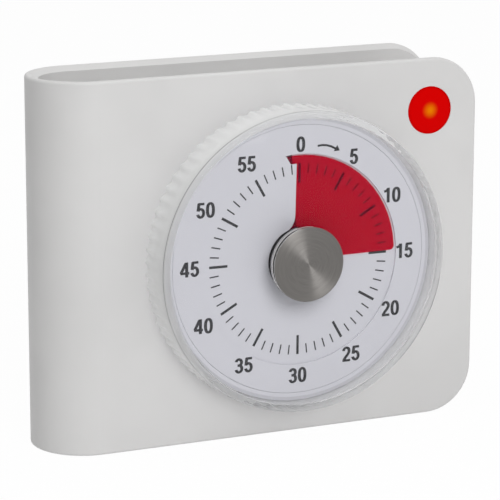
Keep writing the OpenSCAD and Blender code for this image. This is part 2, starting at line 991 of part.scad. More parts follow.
centre_phase = 0;
second_pinion_phase = mesh_phase(second_dir, centre_teeth, centre_phase, pinion_teeth);
third_pinion_phase = mesh_phase(third_dir, second_teeth, second_pinion_phase, pinion_teeth);
rotor_phase = mesh_phase(rotor_dir, third_teeth, third_pinion_phase, rotor_teeth);

module wheel_teeth(teeth, phase, low, high) {
    translate([0, 0, low])
    linear_extrude(high - low)
    polygon(tooth_outline(teeth, phase));
}

// Arbor between its two bearings, with a pivot at each end
module arbor() {
    disc(arbor_r, works_floor_z + bearing_h + run_gap, works_cover_z - bearing_h - run_gap);
    disc(pivot_r, works_floor_z + slide_gap, works_cover_z - slide_gap);
}

// Round windows that lighten a wheel
module windows(count, pitch_r, top) {
    for (i = [0 : count - 1])
        translate(concat(polar(window_at * pitch_r, 360 * (i + 0.5) / count), [0]))
        disc(window_r * pitch_r, top - wheel_t - over, top + over);
}

module centre_wheel() {
    color("khaki")
    on_dial()
    difference() {
        wheel_teeth(centre_teeth, centre_phase, centre_wheel_z - wheel_t, centre_wheel_z);
        disc(spindle_r + fit_gap, centre_wheel_z - wheel_t - over, centre_wheel_z + over);
        windows(5, centre_pr, centre_wheel_z);
    }
}

// Dished washer that presses the centre wheel against the spindle's collar
module clutch_spring() {
    top = centre_wheel_z - wheel_t;
    bore = spindle_r + small_gap;
    color("silver")
    on_dial()
    rotate_extrude()
    polygon([[bore, top - spring_h], [bore + 2 * spring_t, top - spring_h],
        [spring_rim_r, top - spring_t], [spring_rim_r, top], [spring_rim_r - 2 * spring_t, top],
        [bore, top - spring_h + spring_t]]);
}

module intermediate_wheel() {
    color("ivory")
    on_dial()
    translate([second_at[0], second_at[1], 0]) {
        arbor();
        wheel_teeth(pinion_teeth, second_pinion_phase, second_wheel_z - join,
            centre_wheel_z + tooth_side);
        difference() {
            wheel_teeth(second_teeth, second_pinion_phase, second_wheel_z - wheel_t,
                second_wheel_z);
            windows(4, second_pr, second_wheel_z);
        }
    }
}

module third_wheel() {
    color("ivory")
    on_dial()
    translate([third_at[0], third_at[1], 0]) {
        arbor();
        wheel_teeth(pinion_teeth, third_pinion_phase, third_wheel_z - join,
            second_wheel_z + tooth_side);
        wheel_teeth(third_teeth, third_pinion_phase, third_wheel_z - wheel_t, third_wheel_z);
    }
}

// Magnet rotor with its pinion
module rotor() {
    color("darkgray")
    on_dial()
    translate([rotor_at[0], rotor_at[1], 0]) {
        arbor();
        disc(magnet_r, stator_z - magnet_h / 2, stator_z + magnet_h / 2);
        wheel_teeth(rotor_teeth, rotor_phase, third_wheel_z - wheel_t - tooth_side,
            third_wheel_z + tooth_side);
    }
}

module stator() {
    color("lightsteelblue")
    on_dial()
    translate([0, 0, stator_z - stator_t / 2])
    linear_extrude(stator_t)
    difference() {
        union() {
            translate([rotor_at[0], rotor_at[1]])
            circle(r = magnet_r + stator_ring);
            translate([rotor_at[0], rotor_at[1] - stator_arm])
            square([coil_x + core_w / 2 - rotor_at[0], stator_arm + magnet_r]);
            translate([coil_x - core_w / 2, coil_low_y - core_end])
            square([core_w, rotor_at[1] - coil_low_y + core_end]);
        }
        translate([rotor_at[0], rotor_at[1]])
        circle(r = magnet_r + air_gap);
    }
}

module drive_coil() {
    color("chocolate")
    on_dial()
    translate([coil_x, coil_low_y, stator_z])
    rotate([-90, 0, 0])
    difference() {
        union() {
            disc(coil_r, 0, coil_len);
            disc(coil_r + coil_lip, 0, coil_lip_t);
            disc(coil_r + coil_lip, coil_len - coil_lip_t, coil_len);
        }
        disc(core_w / 2 + slide_gap, -over, coil_len + over);
    }
}

module each_post() {
    for (sx = [-1, 1], sy = [-1, 1])
        translate([sx * post_at, sy * post_at, 0])
        children();
}

module each_arbor() {
    for (at = [second_at, third_at, rotor_at])
        translate([at[0], at[1], 0])
        children();
}

// Open box behind the works, with a bearing for each arbor and for the spindle's tail
module works_case() {
    color("lightgray")
    on_dial()
    difference() {
        union() {
            difference() {
                slab(works_side, works_side, works_corner_r, works_back_z, works_cover_z);
                slab(works_inner, works_inner, works_corner_r - works_wall, works_floor_z,
                    works_cover_z + over);
            }
            each_post()
            disc(post_r, works_floor_z - join, works_cover_z);
            each_arbor()
            disc(arbor_r + bearing_wall, works_floor_z - join, works_floor_z + bearing_h);
            disc(spindle_r + bearing_wall, works_floor_z - join, works_floor_z + bearing_h);
            for (y = [coil_low_y - core_post_r, coil_low_y + coil_len + 2 * core_post_r])
                translate([coil_x, y, 0])
                disc(core_post_r, works_floor_z - join, stator_z - stator_t / 2);
        }
        each_arbor()
        disc(pivot_r + run_gap, works_floor_z, works_floor_z + bearing_h + over);
        disc(spindle_r + run_gap, works_floor_z - works_wall / 2 - tooth_side,
            works_floor_z + bearing_h + over);
        each_post()
        disc(clear_r, works_back_z - over, works_cover_z + over);
    }
}

// Front plate of the works, with the arbors' front bearings
module works_cover() {
    color("silver")
    on_dial()
    difference() {
        union() {
            slab(works_side, works_side, works_corner_r, works_cover_z, works_z);
            each_arbor()
            disc(arbor_r + bearing_wall, works_cover_z - bearing_h, works_cover_z + join);
        }
        each_arbor()
        disc(pivot_r + run_gap, works_cover_z - bearing_h - over, works_cover_z);
        disc(bush_r + air_gap, works_cover_z - over, works_z + over);
        each_post()
        disc(clear_r, works_cover_z - over, works_z + over);
    }
}

// ---------------------------------------------------------------- electronics

module on_board(y) {
    face()
    translate([board_x, y, 0])
    children();
}

module circuit_board() {
    color("seagreen")
    face()
    difference() {
        translate([board_x, board_y, 0])
        slab(board_w, board_h, 1, board_back_z, board_front_z);
        at_each(board_screw_places)
        disc(clear_r, board_back_z - over, board_front_z + over);
    }
}

module controller_chip() {
    color("black")
    on_board(board_y - chip_drop) {
        slab(chip_w, chip_l, 2 * join, board_front_z + chip_lift,
            board_front_z + chip_lift + chip_h);
        for (s = [-1, 1], i = [0 : chip_pins - 1])
            translate([s * (chip_w + chip_pin[0]) / 2 - (s + 1) * join - chip_pin[0] / 2,
                (i - (chip_pins - 1) / 2) * chip_pin_step - chip_pin[1] / 2, board_front_z])
            cube(chip_pin + [2 * join, 0, 0]);
    }
}

// Watch crystal, lying on the board
module crystal_can() {
    color("silver")
    on_board(board_y + can_rise)
    translate([-can_len / 2, 0, board_front_z + can_r])
    rotate([0, 90, 0]) {
        cylinder(r = can_r, h = can_len);
        translate([0, 0, -can_neck_l])
        cylinder(r = can_neck_r, h = can_neck_l + join);
    }
}

module switch_body() {
    groove = stem_w + 2 * switch_travel + 2 * air_gap;
    color("silver")
    on_board(switch_y)
    difference() {
        slab(switch_w, slot_len + 1, switch_corner_r, board_back_z - switch_h, board_back_z);
        slab(stem_w + 2 * air_gap, groove, switch_corner_r, board_back_z - switch_h - over,
            board_back_z - switch_h + switch_slot_d);
    }
}

// Thumb piece of the sound switch
module sound_slider() {
    top = back_z + slider_low;
    low = board_back_z - switch_h - slide_gap;
    color("lightgray")
    on_board(switch_y)
    difference() {
        union() {
            slab(slider_w, slider_len, switch_corner_r, top, low);
            slab(stem_w, stem_w, slide_gap, low - join, low + stem_l);
        }
        for (i = [-1 : 1])
            translate([-slider_w / 2 - over, i * slider_len / 3.5 - ridge_w / 2, top - over])
            cube([slider_w + 2 * over, ridge_w, over + ridge_d]);
    }
}

module sounder() {
    color("black")
    on_board(sounder_y)
    difference() {
        disc(sounder_r, board_back_z - sounder_h, board_back_z);
        disc(sounder_r - sounder_wall, board_back_z - sounder_h + sounder_wall,
            board_back_z - sounder_back);
        disc(sounder_port_r, board_back_z - sounder_h - over, board_back_z - sounder_back);
    }
}

// ---------------------------------------------------------------- batteries

module in_bay() {
    face()
    translate([bay_x, bay_z, 0])
    children();
}

// Places a child on each battery's axis, which runs along x: the upper battery points right
module each_cell() {
    for (s = [-1, 1])
        translate([0, s * cell_pitch / 2, cell_z])
        rotate([0, s > 0 ? 90 : -90, 0])
        children();
}

module battery_tray() {
    color("whitesmoke")
    in_bay()
    difference() {
        slab(bay_len + 2 * tray_wall, bay_h + 2 * tray_wall, tray_corner_r, back_inner_z,
            tray_floor_z + tray_wall);
        slab(bay_len, bay_h, tray_corner_r - tray_wall, back_inner_z - over, tray_floor_z);
    }
}

module batteries() {
    color("steelblue")
    in_bay()
    each_cell()
    translate([0, 0, cell_back])
    rotate_extrude()
    polygon([[0, 0], [cell_r - cell_edge, 0], [cell_r, cell_edge], [cell_r, cell_len - cell_edge],
        [cell_r - cell_edge, cell_len], [nub_r, cell_len], [nub_r, cell_len + nub_h],
        [0, cell_len + nub_h]]);
}

// Cone springs that press on the flat ends
module battery_springs() {
    steps = spring_turns * spring_turn_steps;
    rise = coil_spring_len - 2 * spring_wire_r - fit_gap;
    color("silver")
    in_bay()
    each_cell()
    translate([0, 0, -bay_len / 2 + contact_t])
    sweep([for (i = [0 : steps])
        let (a = 360 * i / spring_turn_steps, t = i / steps,
             r = spring_big_r + (spring_small_r - spring_big_r) * t,
             z = spring_wire_r + fit_gap + rise * t)
        [for (j = [0 : spring_wire_sides - 1])
            let (b = -360 * j / spring_wire_sides, q = r + spring_wire_r * cos(b))
            [q * cos(a), q * sin(a), z + spring_wire_r * sin(b)]]]);
}

// Contact plates: two single ones on the left, and one on the right that joins both batteries
module battery_contacts() {
    half = contact_side / 2;
    color("silver")
    in_bay() {
        for (s = [-1, 1])
            translate([-bay_len / 2, s * cell_pitch / 2 - half, cell_z - half])
            cube([contact_t, contact_side, contact_side]);
        translate([bay_len / 2 - contact_t, -cell_pitch / 2 - half, cell_z - half])
        cube([contact_t, cell_pitch + contact_side, contact_side]);
    }
}

// Door with a rounded lower edge that turns on a pin at each end
module battery_door() {
    color("whitesmoke")
    in_bay()
    difference() {
        union() {
            difference() {
                slab(door_w, door_h, door_corner_r, back_z, back_z + door_t);
                translate([-door_w, -door_h, back_z - over])
                cube([2 * door_w, door_h + hinge_y, door_t + 2 * over]);
            }
            hinge_rod(door_t / 2, door_w);
            hinge_rod(pin_r, door_w + 2 * pin_l);
        }
        finger_scoop();
    }
}

// ---------------------------------------------------------------- screws and leads

module frame_screws() {
    seat = back_z + head_h + head_sink;
    color("silver")
    face()
    at_each(frame_screw_places)
    translate([0, 0, seat])
    mirror([0, 0, 1])
    screw(thread_end_z - seat - air_gap);
}

module drum_screws() {
    color("silver")
    on_dial()
    drum_screw_ring()
    translate([0, 0, inner_z])
    mirror([0, 0, 1])
    screw(wall + drum_screw_depth);
}

module works_screws() {
    color("silver")
    on_dial()
    each_post()
    translate([0, 0, works_back_z])
    mirror([0, 0, 1])
    screw(works_d + post_screw_depth);
}

module board_screws() {
    color("silver")
    face()
    at_each(board_screw_places)
    translate([0, 0, board_front_z])
    screw(board_t + board_screw_depth);
}

// Route of the lamp's lead, from the diode's legs to the circuit board
lead_end = [board_x + lead_end_x, board_y + board_h / 2 - lead_end_y];
lead_route = [
    [lamp_x, lamp_z, lamp_end_z],
    [lamp_x, lamp_z, lead_z],
    [lead_x, lamp_z - lead_fall, lead_z],
    [lead_x, lead_y, lead_z],
    [board_x + board_w / 2 + lead_room, lead_y, lead_z],
    [lead_end[0], lead_end[1], board_front_z + wire_lift],
    [lead_end[0], lead_end[1], board_front_z]
];

module lamp_lead() {
    color("red")
    face()
    wire(rounded(lead_route, lead_bend_r), lead_r);
}

// Route of one of the batteries' two leads, from the tray to the circuit board
function battery_route(side) =
    let (tray_x = bay_x - bay_len / 2 - tray_wall, low = tray_floor_z - wire_low,
         at_x = board_x + wire_end_x + wire_end_gap * side,
         at_y = board_y - board_h / 2 + wire_end_y, high = board_front_z + wire_lift)
    [[tray_x, bay_z + wire_gap * side, low], [tray_x - wire_out, bay_z + wire_gap * side, low],
     [at_x, bay_z + wire_rise, high], [at_x, at_y, high], [at_x, at_y, board_front_z]];

module battery_lead() {
    color("dimgray")
    face()
    for (side = [-1, 1])
        wire(rounded(battery_route(side), wire_bend_r), wire_r);
}

// ---------------------------------------------------------------- assembly

housing_shell();
inner_frame();
dial_drum();
dial_plate();
clear_cap();
knob_face();
turning_hub();
hub_screw();
spindle();
spindle_bush();
spindle_clip();
red_film();
alarm_lens();
lamp_holder();
alarm_led();
works_case();
works_cover();
centre_wheel();
clutch_spring();
intermediate_wheel();
third_wheel();
rotor();
stator();
drive_coil();
circuit_board();
controller_chip();
crystal_can();
switch_body();
sound_slider();
sounder();
battery_tray();
batteries();
battery_springs();
battery_contacts();
battery_door();
frame_screws();
drum_screws();
works_screws();
board_screws();
lamp_lead();
battery_lead();
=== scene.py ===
"""Dresses the visual countdown timer: its print, its clear cap, its turned knob and its finishes.

Everything is in metres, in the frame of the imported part: +Z up, the reader of the dial at -Y. The
new pieces are drawn in millimetres in the face frame, where x runs to the right, y up and z
towards the reader, with z = 0 on the outer face of the front panel.
"""

from __future__ import annotations

import logging
import math
from collections.abc import Callable, Iterable, Sequence
from dataclasses import dataclass
from enum import Enum
from functools import cache

import bmesh
import bpy
from mathutils import Matrix, Vector

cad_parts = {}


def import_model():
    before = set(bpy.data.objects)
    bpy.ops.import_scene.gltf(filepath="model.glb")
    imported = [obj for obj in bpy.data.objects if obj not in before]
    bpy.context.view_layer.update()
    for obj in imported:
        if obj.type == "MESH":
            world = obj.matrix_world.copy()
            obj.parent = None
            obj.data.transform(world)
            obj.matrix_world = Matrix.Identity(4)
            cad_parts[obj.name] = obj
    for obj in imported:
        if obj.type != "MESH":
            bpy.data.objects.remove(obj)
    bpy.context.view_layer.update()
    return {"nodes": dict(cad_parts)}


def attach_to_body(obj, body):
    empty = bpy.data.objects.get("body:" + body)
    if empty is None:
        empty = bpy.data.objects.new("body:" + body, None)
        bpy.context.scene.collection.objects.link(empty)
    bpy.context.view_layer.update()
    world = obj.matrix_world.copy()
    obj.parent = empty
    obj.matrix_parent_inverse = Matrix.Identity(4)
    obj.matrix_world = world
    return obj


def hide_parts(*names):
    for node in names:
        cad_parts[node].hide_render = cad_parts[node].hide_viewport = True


LOG = logging.getLogger("timer")
MM = 0.001
MERGE_WITHIN = 0.002
MINUTES = 60
DEGREES_PER_MINUTE = 6.0

Colour = tuple[float, float, float]
Point = tuple[float, float, float]
Pair = tuple[float, float]
Path2D = Sequence[Pair]
Object = bpy.types.Object
Node = bpy.types.Node
Socket = bpy.types.NodeSocket
Sockets = dict[str | int, object]


class Body(Enum):
    """The bodies of the part that new pieces ride on."""

    HOUSING = "housing"
    DIAL = "dial"


class Slot(Enum):
    """Names of material slots for new pieces, which attach is given but does not use."""

    CLEAR = "clear_plastic"
    STEEL = "spun_steel"
    DIAL = "dial_white"


# ---- places


@dataclass(frozen=True)
class Face:
    """The face frame, or a copy of it with its origin elsewhere on the front panel.

    Attributes:
        x: Place of its origin along the part's X.
        z: Place of its origin along the part's Z.
        front_y: The panel's outer face along the part's Y.
    """

    x: float = 0.0
    z: float = 0.0
    front_y: float = -9.2

    def point(self, x: float, y: float, z: float) -> Vector:
        """Returns a point of the face frame in metres, in the part's frame."""
        return Vector((self.x + x, self.front_y - z, self.z + y)) * MM

    def matrix(self) -> Matrix:
        """Returns the matrix that takes face-frame millimetres to the part's frame in metres."""
        turn = Matrix.Rotation(math.radians(90), 4, "X")
        return Matrix.Translation(self.point(0, 0, 0)) @ turn @ Matrix.Scale(MM, 4)


DIAL = Face(6.8, 63.2)
LAMP = Face(60.8, 108.9)


# ---- mesh helpers


def deselect() -> None:
    """Deselects every object, so that an operator acts only on what is chosen next."""
    if bpy.context.mode != "OBJECT":
        bpy.ops.object.mode_set(mode="OBJECT")
    for obj in bpy.context.selected_objects:
        obj.select_set(False)


def choose(*objects: Object) -> None:
    """Selects these objects alone.

    Args:
        objects: The objects; the first becomes the active one.
    """
    deselect()
    for obj in objects:
        obj.select_set(True)
    bpy.context.view_layer.objects.active = objects[0]


def edit(obj: Object) -> None:
    """Enters edit mode on one object, with everything in it selected.

    Args:
        obj: The object.
    """
    choose(obj)
    bpy.ops.object.mode_set(mode="EDIT")
    bpy.ops.mesh.select_all(action="SELECT")


def done() -> None:
    """Leaves edit mode."""
    bpy.ops.object.mode_set(mode="OBJECT")


def close_up() -> None:
    """Merges doubles in the mesh in edit mode, turns its faces outwards and leaves edit mode."""
    bpy.ops.mesh.select_all(action="SELECT")
    bpy.ops.mesh.remove_doubles(threshold=MERGE_WITHIN)
    bpy.ops.mesh.normals_make_consistent(inside=False)
    done()


def extrude(rise: float) -> None:
    """Extrudes what is selected in edit mode by this much along z."""
    bpy.ops.mesh.extrude_region_move(TRANSFORM_OT_translate={"value": (0, 0, rise)})


def finish_faces(obj: Object, index: int, test: Callable[[Vector], bool]) -> None:
    """Gives some faces of a piece another of its finishes.

    Args:
        obj: The piece.
        index: Which of its finishes.
        test: Says whether a vertex at this place belongs to such faces.
    """
    edit(obj)
    mesh = bmesh.from_edit_mesh(obj.data)
    for vert in mesh.verts:
        vert.select_set(test(vert.co))
    mesh.select_flush(True)
    mesh.select_flush(False)
    bmesh.update_edit_mesh(obj.data)
    obj.active_material_index = index
    bpy.ops.object.material_slot_assign()
    done()


def ring(name: str, sides: int, radius: float, height: float) -> Object:
    """Makes a ring of vertices round the local z axis.

    Args:
        name: Name of the new object.
        sides: Number of vertices.
        radius: The ring's radius.
        height: Its height.

    Returns:
        The new object.
    """
    deselect()
    bpy.ops.mesh.primitive_circle_add(vertices=sides, radius=radius, location=(0, 0, height))
    obj = bpy.context.object
    obj.name = name
    bpy.ops.object.transform_apply(location=True, rotation=False, scale=False)
    return obj


def turned(name: str, profile: Sequence[Pair], sides: int) -> Object:
    """Turns a profile into a closed solid round the local z axis.

    Args:
        name: Name of the new object.
        profile: Radius and height of each ring, in order. It is closed at its ends by flat
            faces, or where its ends meet, by merging them.
        sides: Number of sides.

    Returns:
        The new object.
    """
    radius, height = profile[0]
    obj = ring(name, sides, radius, height)
    edit(obj)
    if profile[0] != profile[-1]:
        bpy.ops.mesh.edge_face_add()
        bpy.ops.mesh.select_all(action="SELECT")
    for next_radius, next_height in profile[1:]:
        extrude(next_height - height)
        factor = next_radius / radius
        bpy.ops.transform.resize(value=(factor, factor, 1), center_override=(0, 0, next_height))
        radius, height = next_radius, next_height
    close_up()
    return obj


def slab(name: str, outline: Path2D, start: float, rise: float) -> Object:
    """Makes a flat plate.

    Args:
        name: Name of the new object.
        outline: The plate's corners.
        start: Height of its first face.
        rise: How far above that its second face lies.

    Returns:
        The new object.
    """
    deselect()
    bpy.ops.mesh.primitive_circle_add(vertices=len(outline), fill_type="NGON")
    obj = bpy.context.object
    obj.name = name
    for vert, (x, y) in zip(obj.data.vertices, outline):
        vert.co = (x, y, start)
    edit(obj)
    extrude(rise)
    close_up()
    return obj


def settle(obj: Object, place: Matrix) -> None:
    """Moves a mesh to its place and leaves its object at the origin."""
    obj.data.transform(place)
    obj.data.update()


def smooth(obj: Object, degrees: float) -> None:
    """Shades a mesh smooth, except over edges sharper than this angle."""
    choose(obj)
    bpy.ops.object.shade_smooth_by_angle(angle=math.radians(degrees))


def merged(objects: Sequence[Object], name: str) -> Object:
    """Joins objects into one piece.

    Args:
        objects: The objects to join.
        name: The piece's name.

    Returns:
        The joined object.
    """
    choose(*objects)
    bpy.ops.object.join()
    obj = bpy.context.object
    obj.name = name
    obj.data.name = name
    return obj


def attach(obj: Object, body: Body, slot: Slot, *finishes: Finish) -> None:
    """Gives a new piece its finishes and the body that carries it.

    Args:
        obj: The piece.
        body: The body it rides on.
        slot: The slot for its finish; not used.
        finishes: Its finishes, the main one first.
    """
    obj.data.materials.clear()
    for finish in finishes:
        obj.data.materials.append(finish.material())
    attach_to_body(obj, body.value)
    LOG.info("%s: %d faces on %s", obj.name, len(obj.data.polygons), body.value)


# ---- node helpers


def tone(colour: Colour, share: float = 1.0, lift: float = 0.0) -> tuple[float, ...]:
    """Returns a colour with full alpha, at this share of its brightness and then lifted."""
    return (*(min(1.0, channel * share + lift) for channel in colour), 1.0)


@dataclass
class Graph:
    """Adds and links the nodes of one tree.

    Attributes:
        tree: The tree.
    """

    tree: bpy.types.NodeTree

    @property
    def shader(self) -> Node:
        """The Principled BSDF of a material's tree."""
        return self.tree.nodes["Principled BSDF"]

    def feed(self, value: object, target: Socket) -> None:
        """Links a socket to an input, or sets the input's value."""
        if isinstance(value, Socket):
            self.tree.links.new(value, target)
        else:
            target.default_value = value

    def add(self, kind: str, sockets: Sockets | None = None, **settings: object) -> Node:
        """Adds a node.

        Args:
            kind: The node's type.
            sockets: Values, or sockets to link from, by the name or number of the input.
            settings: Properties of the node.

        Returns:
            The node.
        """
        node = self.tree.nodes.new(kind)
        for name, value in settings.items():
            setattr(node, name, value)
        for name, value in (sockets or {}).items():
            self.feed(value, node.inputs[name])
        return node

    def wear(self, **sockets: object) -> None:
        """Sets inputs of the Principled BSDF by their names, or links sockets to them."""
        inputs = {item.name.lower().replace(" ", "_"): item for item in self.shader.inputs}
        for name, value in sockets.items():
            self.feed(value, inputs[name])

    def cover(self, share: object, other: Node) -> None:
        """Shows another shader in place of the Principled BSDF.

        Args:
            share: How much of the other one is seen.
            other: The other shader.
        """
        shaders = {0: share, 1: self.shader.outputs[0], 2: other.outputs[0]}
        mix = self.add("ShaderNodeMixShader", shaders)
        self.feed(mix.outputs[0], self.tree.nodes["Material Output"].inputs["Surface"])

    def maths(self, operation: str, *values: object) -> Socket:
        """Adds a Math node on these values and returns its result."""
        sockets = dict(enumerate(values))
        return self.add("ShaderNodeMath", sockets, operation=operation).outputs[0]

    def vector(self, operation: str, *values: object) -> Socket:
        """Adds a Vector Math node on these values and returns its result."""
        node = self.add("ShaderNodeVectorMath", dict(enumerate(values)), operation=operation)
        return node.outputs["Value" if operation == "LENGTH" else "Vector"]

    def blend(self, factor: object, first: object, second: object) -> Socket:
        """Adds a Mix node on its sockets for colours and returns its result."""
        sockets = {0: factor, 6: first, 7: second}
        return self.add("ShaderNodeMix", sockets, data_type="RGBA").outputs[2]

    def band(
        self, value: object, low: float, high: float, to_low: float = 0.0, to_high: float = 1.0
    ) -> Socket:
        """Maps a value smoothly from one range to another.

        Args:
            value: The value.
            low: Start of its range.
            high: End of its range.
            to_low: What the start becomes.
            to_high: What the end becomes.

        Returns:
            The result.
        """
        names = ("Value", "From Min", "From Max", "To Min", "To Max")
        sockets = dict(zip(names, (value, low, high, to_low, to_high)))
        node = self.add("ShaderNodeMapRange", sockets, interpolation_type="SMOOTHSTEP")
        return node.outputs[0]

    def noise(self, scale: object, detail: float = 2.0, where: Socket | None = None) -> Socket:
        """Adds a noise texture, on Object coordinates unless others are given."""
        sockets = {"Vector": where or self.place(), "Scale": scale, "Detail": detail}
        return self.add("ShaderNodeTexNoise", sockets).outputs[0]

    def place(self) -> Socket:
        """Returns the Object coordinates, which are metres in the part's frame."""
        return self.add("ShaderNodeTexCoord").outputs["Object"]

    def part(self, vector: Socket, axis: str) -> Socket:
        """Returns one coordinate of a vector."""
        return self.add("ShaderNodeSeparateXYZ", {"Vector": vector}).outputs[axis]

    def across(self, centre: object) -> Socket:
        """Returns the way to a place from the nearest point of an axis along Y."""
        offset = self.vector("SUBTRACT", self.place(), centre)
        return self.vector("MULTIPLY", offset, (1.0, 0.0, 1.0))

    def radius(self, centre: object) -> Socket:
        """Returns the distance from an axis along Y through this centre."""
        return self.vector("LENGTH", self.across(centre))

    def rays(self, *kinds: str) -> Socket:
        """Tells rays apart.

        Args:
            kinds: The kinds that are looked for, as in the Light Path node.

        Returns:
            1 for rays of any of these kinds, and 0 for others.
        """
        path = self.add("ShaderNodeLightPath")
        found, *others = (path.outputs[f"Is {kind} Ray"] for kind in kinds)
        for other in others:
            found = self.maths("MAXIMUM", found, other)
        return found


def new_group(name: str, inputs: Sockets, outputs: dict[str, str]) -> tuple[Graph, Node, Node]:
    """Starts a shader node group with named sockets.

    Args:
        name: The group's name.
        inputs: Default value of each input, which also gives the kind of its socket.
        outputs: Kind of each output.

    Returns:
        The group's graph, and its input and output nodes.
    """
    tree = bpy.data.node_groups.new(name, "ShaderNodeTree")
    kinds = {4: "Color", 3: "Vector", 1: "Float"}
    for label, value in inputs.items():
        kind = f"NodeSocket{kinds[len(value) if isinstance(value, tuple) else 1]}"
        socket = tree.interface.new_socket(label, in_out="INPUT", socket_type=kind)
        socket.default_value = value
    for label, kind in outputs.items():
        tree.interface.new_socket(label, in_out="OUTPUT", socket_type=f"NodeSocket{kind}")
    graph = Graph(tree)
    return graph, graph.add("NodeGroupInput"), graph.add("NodeGroupOutput")


@cache
def moulded_surface(
    patches: Pair = (0.35, 0.7), patch_scale: float = 22.0, speckle: float = 0.05
) -> bpy.types.NodeTree:
    """Builds the fine grain and the broad, faint unevenness of a moulded surface, once.

    Args:
        patches: Values of the patches that are wholly bright and wholly dark.
        patch_scale: Their scale.
        speckle: How much the grain adds to the roughness.

    Returns:
        The node group.
    """
    inputs = {
        "Colour": (0.8, 0.8, 0.8, 1.0),
        "Shade": (0.7, 0.7, 0.7, 1.0),
        "Grain Scale": 1800.0,
        "Roughness": 0.4,
        "Roughness Spread": 0.08,
    }
    outputs = {"Colour": "Color", "Roughness": "Float", "Height": "Float"}
    graph, given, result = new_group("moulded_surface", inputs, outputs)
    wanted = given.outputs
    grain = graph.noise(wanted["Grain Scale"])
    patch = graph.noise(patch_scale, detail=3.0)
    centred = graph.maths("SUBTRACT", patch, 0.5)
    spread = graph.maths("MULTIPLY", centred, wanted["Roughness Spread"])
    specks = graph.maths("MULTIPLY", graph.maths("SUBTRACT", grain, 0.5), speckle)
    rough = graph.maths("ADD", wanted["Roughness"], graph.maths("ADD", spread, specks))
    colour = graph.blend(graph.band(patch, *patches), wanted["Colour"], wanted["Shade"])
    for label, value in {"Colour": colour, "Roughness": rough, "Height": grain}.items():
        graph.feed(value, result.inputs[label])
    return graph.tree


@cache
def turned_rings(
    fine: float = 9000.0, broad: float = 900.0, wander: float = 1.3
) -> bpy.types.NodeTree:
    """Builds the fine rings that a lathe leaves round an axis along Y, once.

    Args:
        fine: Scale of the fine rings.
        broad: Scale of the broad ones.
        wander: How much they change on the way round.

    Returns:
        The node group.
    """
    outputs = {"Fine": "Float", "Broad": "Float"}
    graph, given, result = new_group("turned_rings", {"Centre": (0.0, 0.0, 0.0)}, outputs)
    flat = graph.across(given.outputs["Centre"])
    radius = graph.vector("LENGTH", flat)
    angle = graph.maths("ARCTAN2", graph.part(flat, "Z"), graph.part(flat, "X"))
    way_round = graph.maths("MULTIPLY", angle, wander)
    for label, scale in (("Fine", fine), ("Broad", broad)):
        sockets = {"X": graph.maths("MULTIPLY", radius, scale), "Y": way_round}
        where = graph.add("ShaderNodeCombineXYZ", sockets).outputs[0]
        graph.feed(graph.noise(1.0, where=where), result.inputs[label])
    return graph.tree


# ---- finishes


@dataclass(frozen=True)
class Finish:
    """A material of the timer.

    Attributes:
        name: The material's name.
        colour: Its main colour.
        roughness: Its mean roughness.
        centre: A point of the axis along Y that it is drawn round, in metres.
    """

    name: str
    colour: Colour
    roughness: float = 0.4
    centre: Point = (0.0, 0.0, 0.0)

    @cache
    def material(self) -> bpy.types.Material:
        """Returns the material, which is built the first time it is asked for."""
        made = bpy.data.materials.new(self.name)
        made.use_nodes = True
        graph = Graph(made.node_tree)
        graph.wear(base_color=tone(self.colour), roughness=self.roughness)
        self.dress(graph)
        return made

    def dress(self, graph: Graph) -> None:
        """Adds what sets this finish apart to the material's graph.

        Args:
            graph: The material's graph.
        """
        raise NotImplementedError


@dataclass(frozen=True)
class MouldedPlastic(Finish):
    """Moulded plastic with a fine grain and a faint unevenness.

    Attributes:
        shade: Brightness of its patches, as a share of its colour's.
        spread: How far the roughness wanders.
        grain: Scale of the grain, in cells per metre.
        depth: Height of the grain, in metres.
        bump: How strongly the grain is felt.
        coat: Weight of a clear gloss over it.
        level: Specular level.
    """

    shade: float = 0.94
    spread: float = 0.08
    grain: float = 2600.0
    depth: float = 0.000012
    bump: float = 0.6
    coat: float = 0.0
    level: float = 0.5

    def dress(self, graph: Graph) -> None:
        """Links the moulded surface to colour, roughness and bump.

        Args:
            graph: The material's graph.
        """
        sockets = {
            "Colour": tone(self.colour),
            "Shade": tone(self.colour, self.shade),
            "Grain Scale": self.grain,
            "Roughness": self.roughness,
            "Roughness Spread": self.spread,
        }
        surface = graph.add("ShaderNodeGroup", sockets, node_tree=moulded_surface()).outputs
        relief = {"Height": surface["Height"], "Distance": self.depth, "Strength": self.bump}
        graph.wear(
            base_color=surface["Colour"],
            roughness=surface["Roughness"],
            normal=graph.add("ShaderNodeBump", relief).outputs[0],
            coat_weight=self.coat,
            specular_ior_level=self.level,
        )


@dataclass(frozen=True)
class RimmedPlastic(MouldedPlastic):
    """Moulded plastic with a band of painted shade near its edge, round an axis along Y.

    Attributes:
        inner: Radii between which the band sets in, in metres.
        outer: Radii between which it ends.
        dim: Brightness of the painted shade band, as a share of the rest.
    """

    inner: Pair = (0.0473, 0.0476)
    outer: Pair = (0.0485, 0.04858)
    dim: float = 0.82

    def dress(self, graph: Graph) -> None:
        """Paints the band of shade onto the moulded surface.

        Args:
            graph: The material's graph.
        """
        super().dress(graph)
        radius = graph.radius(self.centre)
        sets_in = graph.band(radius, *self.inner)
        ends = graph.band(radius, *self.outer, 1.0, 0.0)
        share = graph.maths("MULTIPLY", sets_in, ends)
        bright = graph.shader.inputs["Base Color"].links[0].from_socket
        graph.wear(base_color=graph.blend(share, bright, tone(self.colour, self.dim)))


@dataclass(frozen=True)
class PlainMetal(MouldedPlastic):
    """Plated or rolled metal."""

    def dress(self, graph: Graph) -> None:
        """Adds metal to the moulded surface."""
        super().dress(graph)
        graph.wear(metallic=1.0)


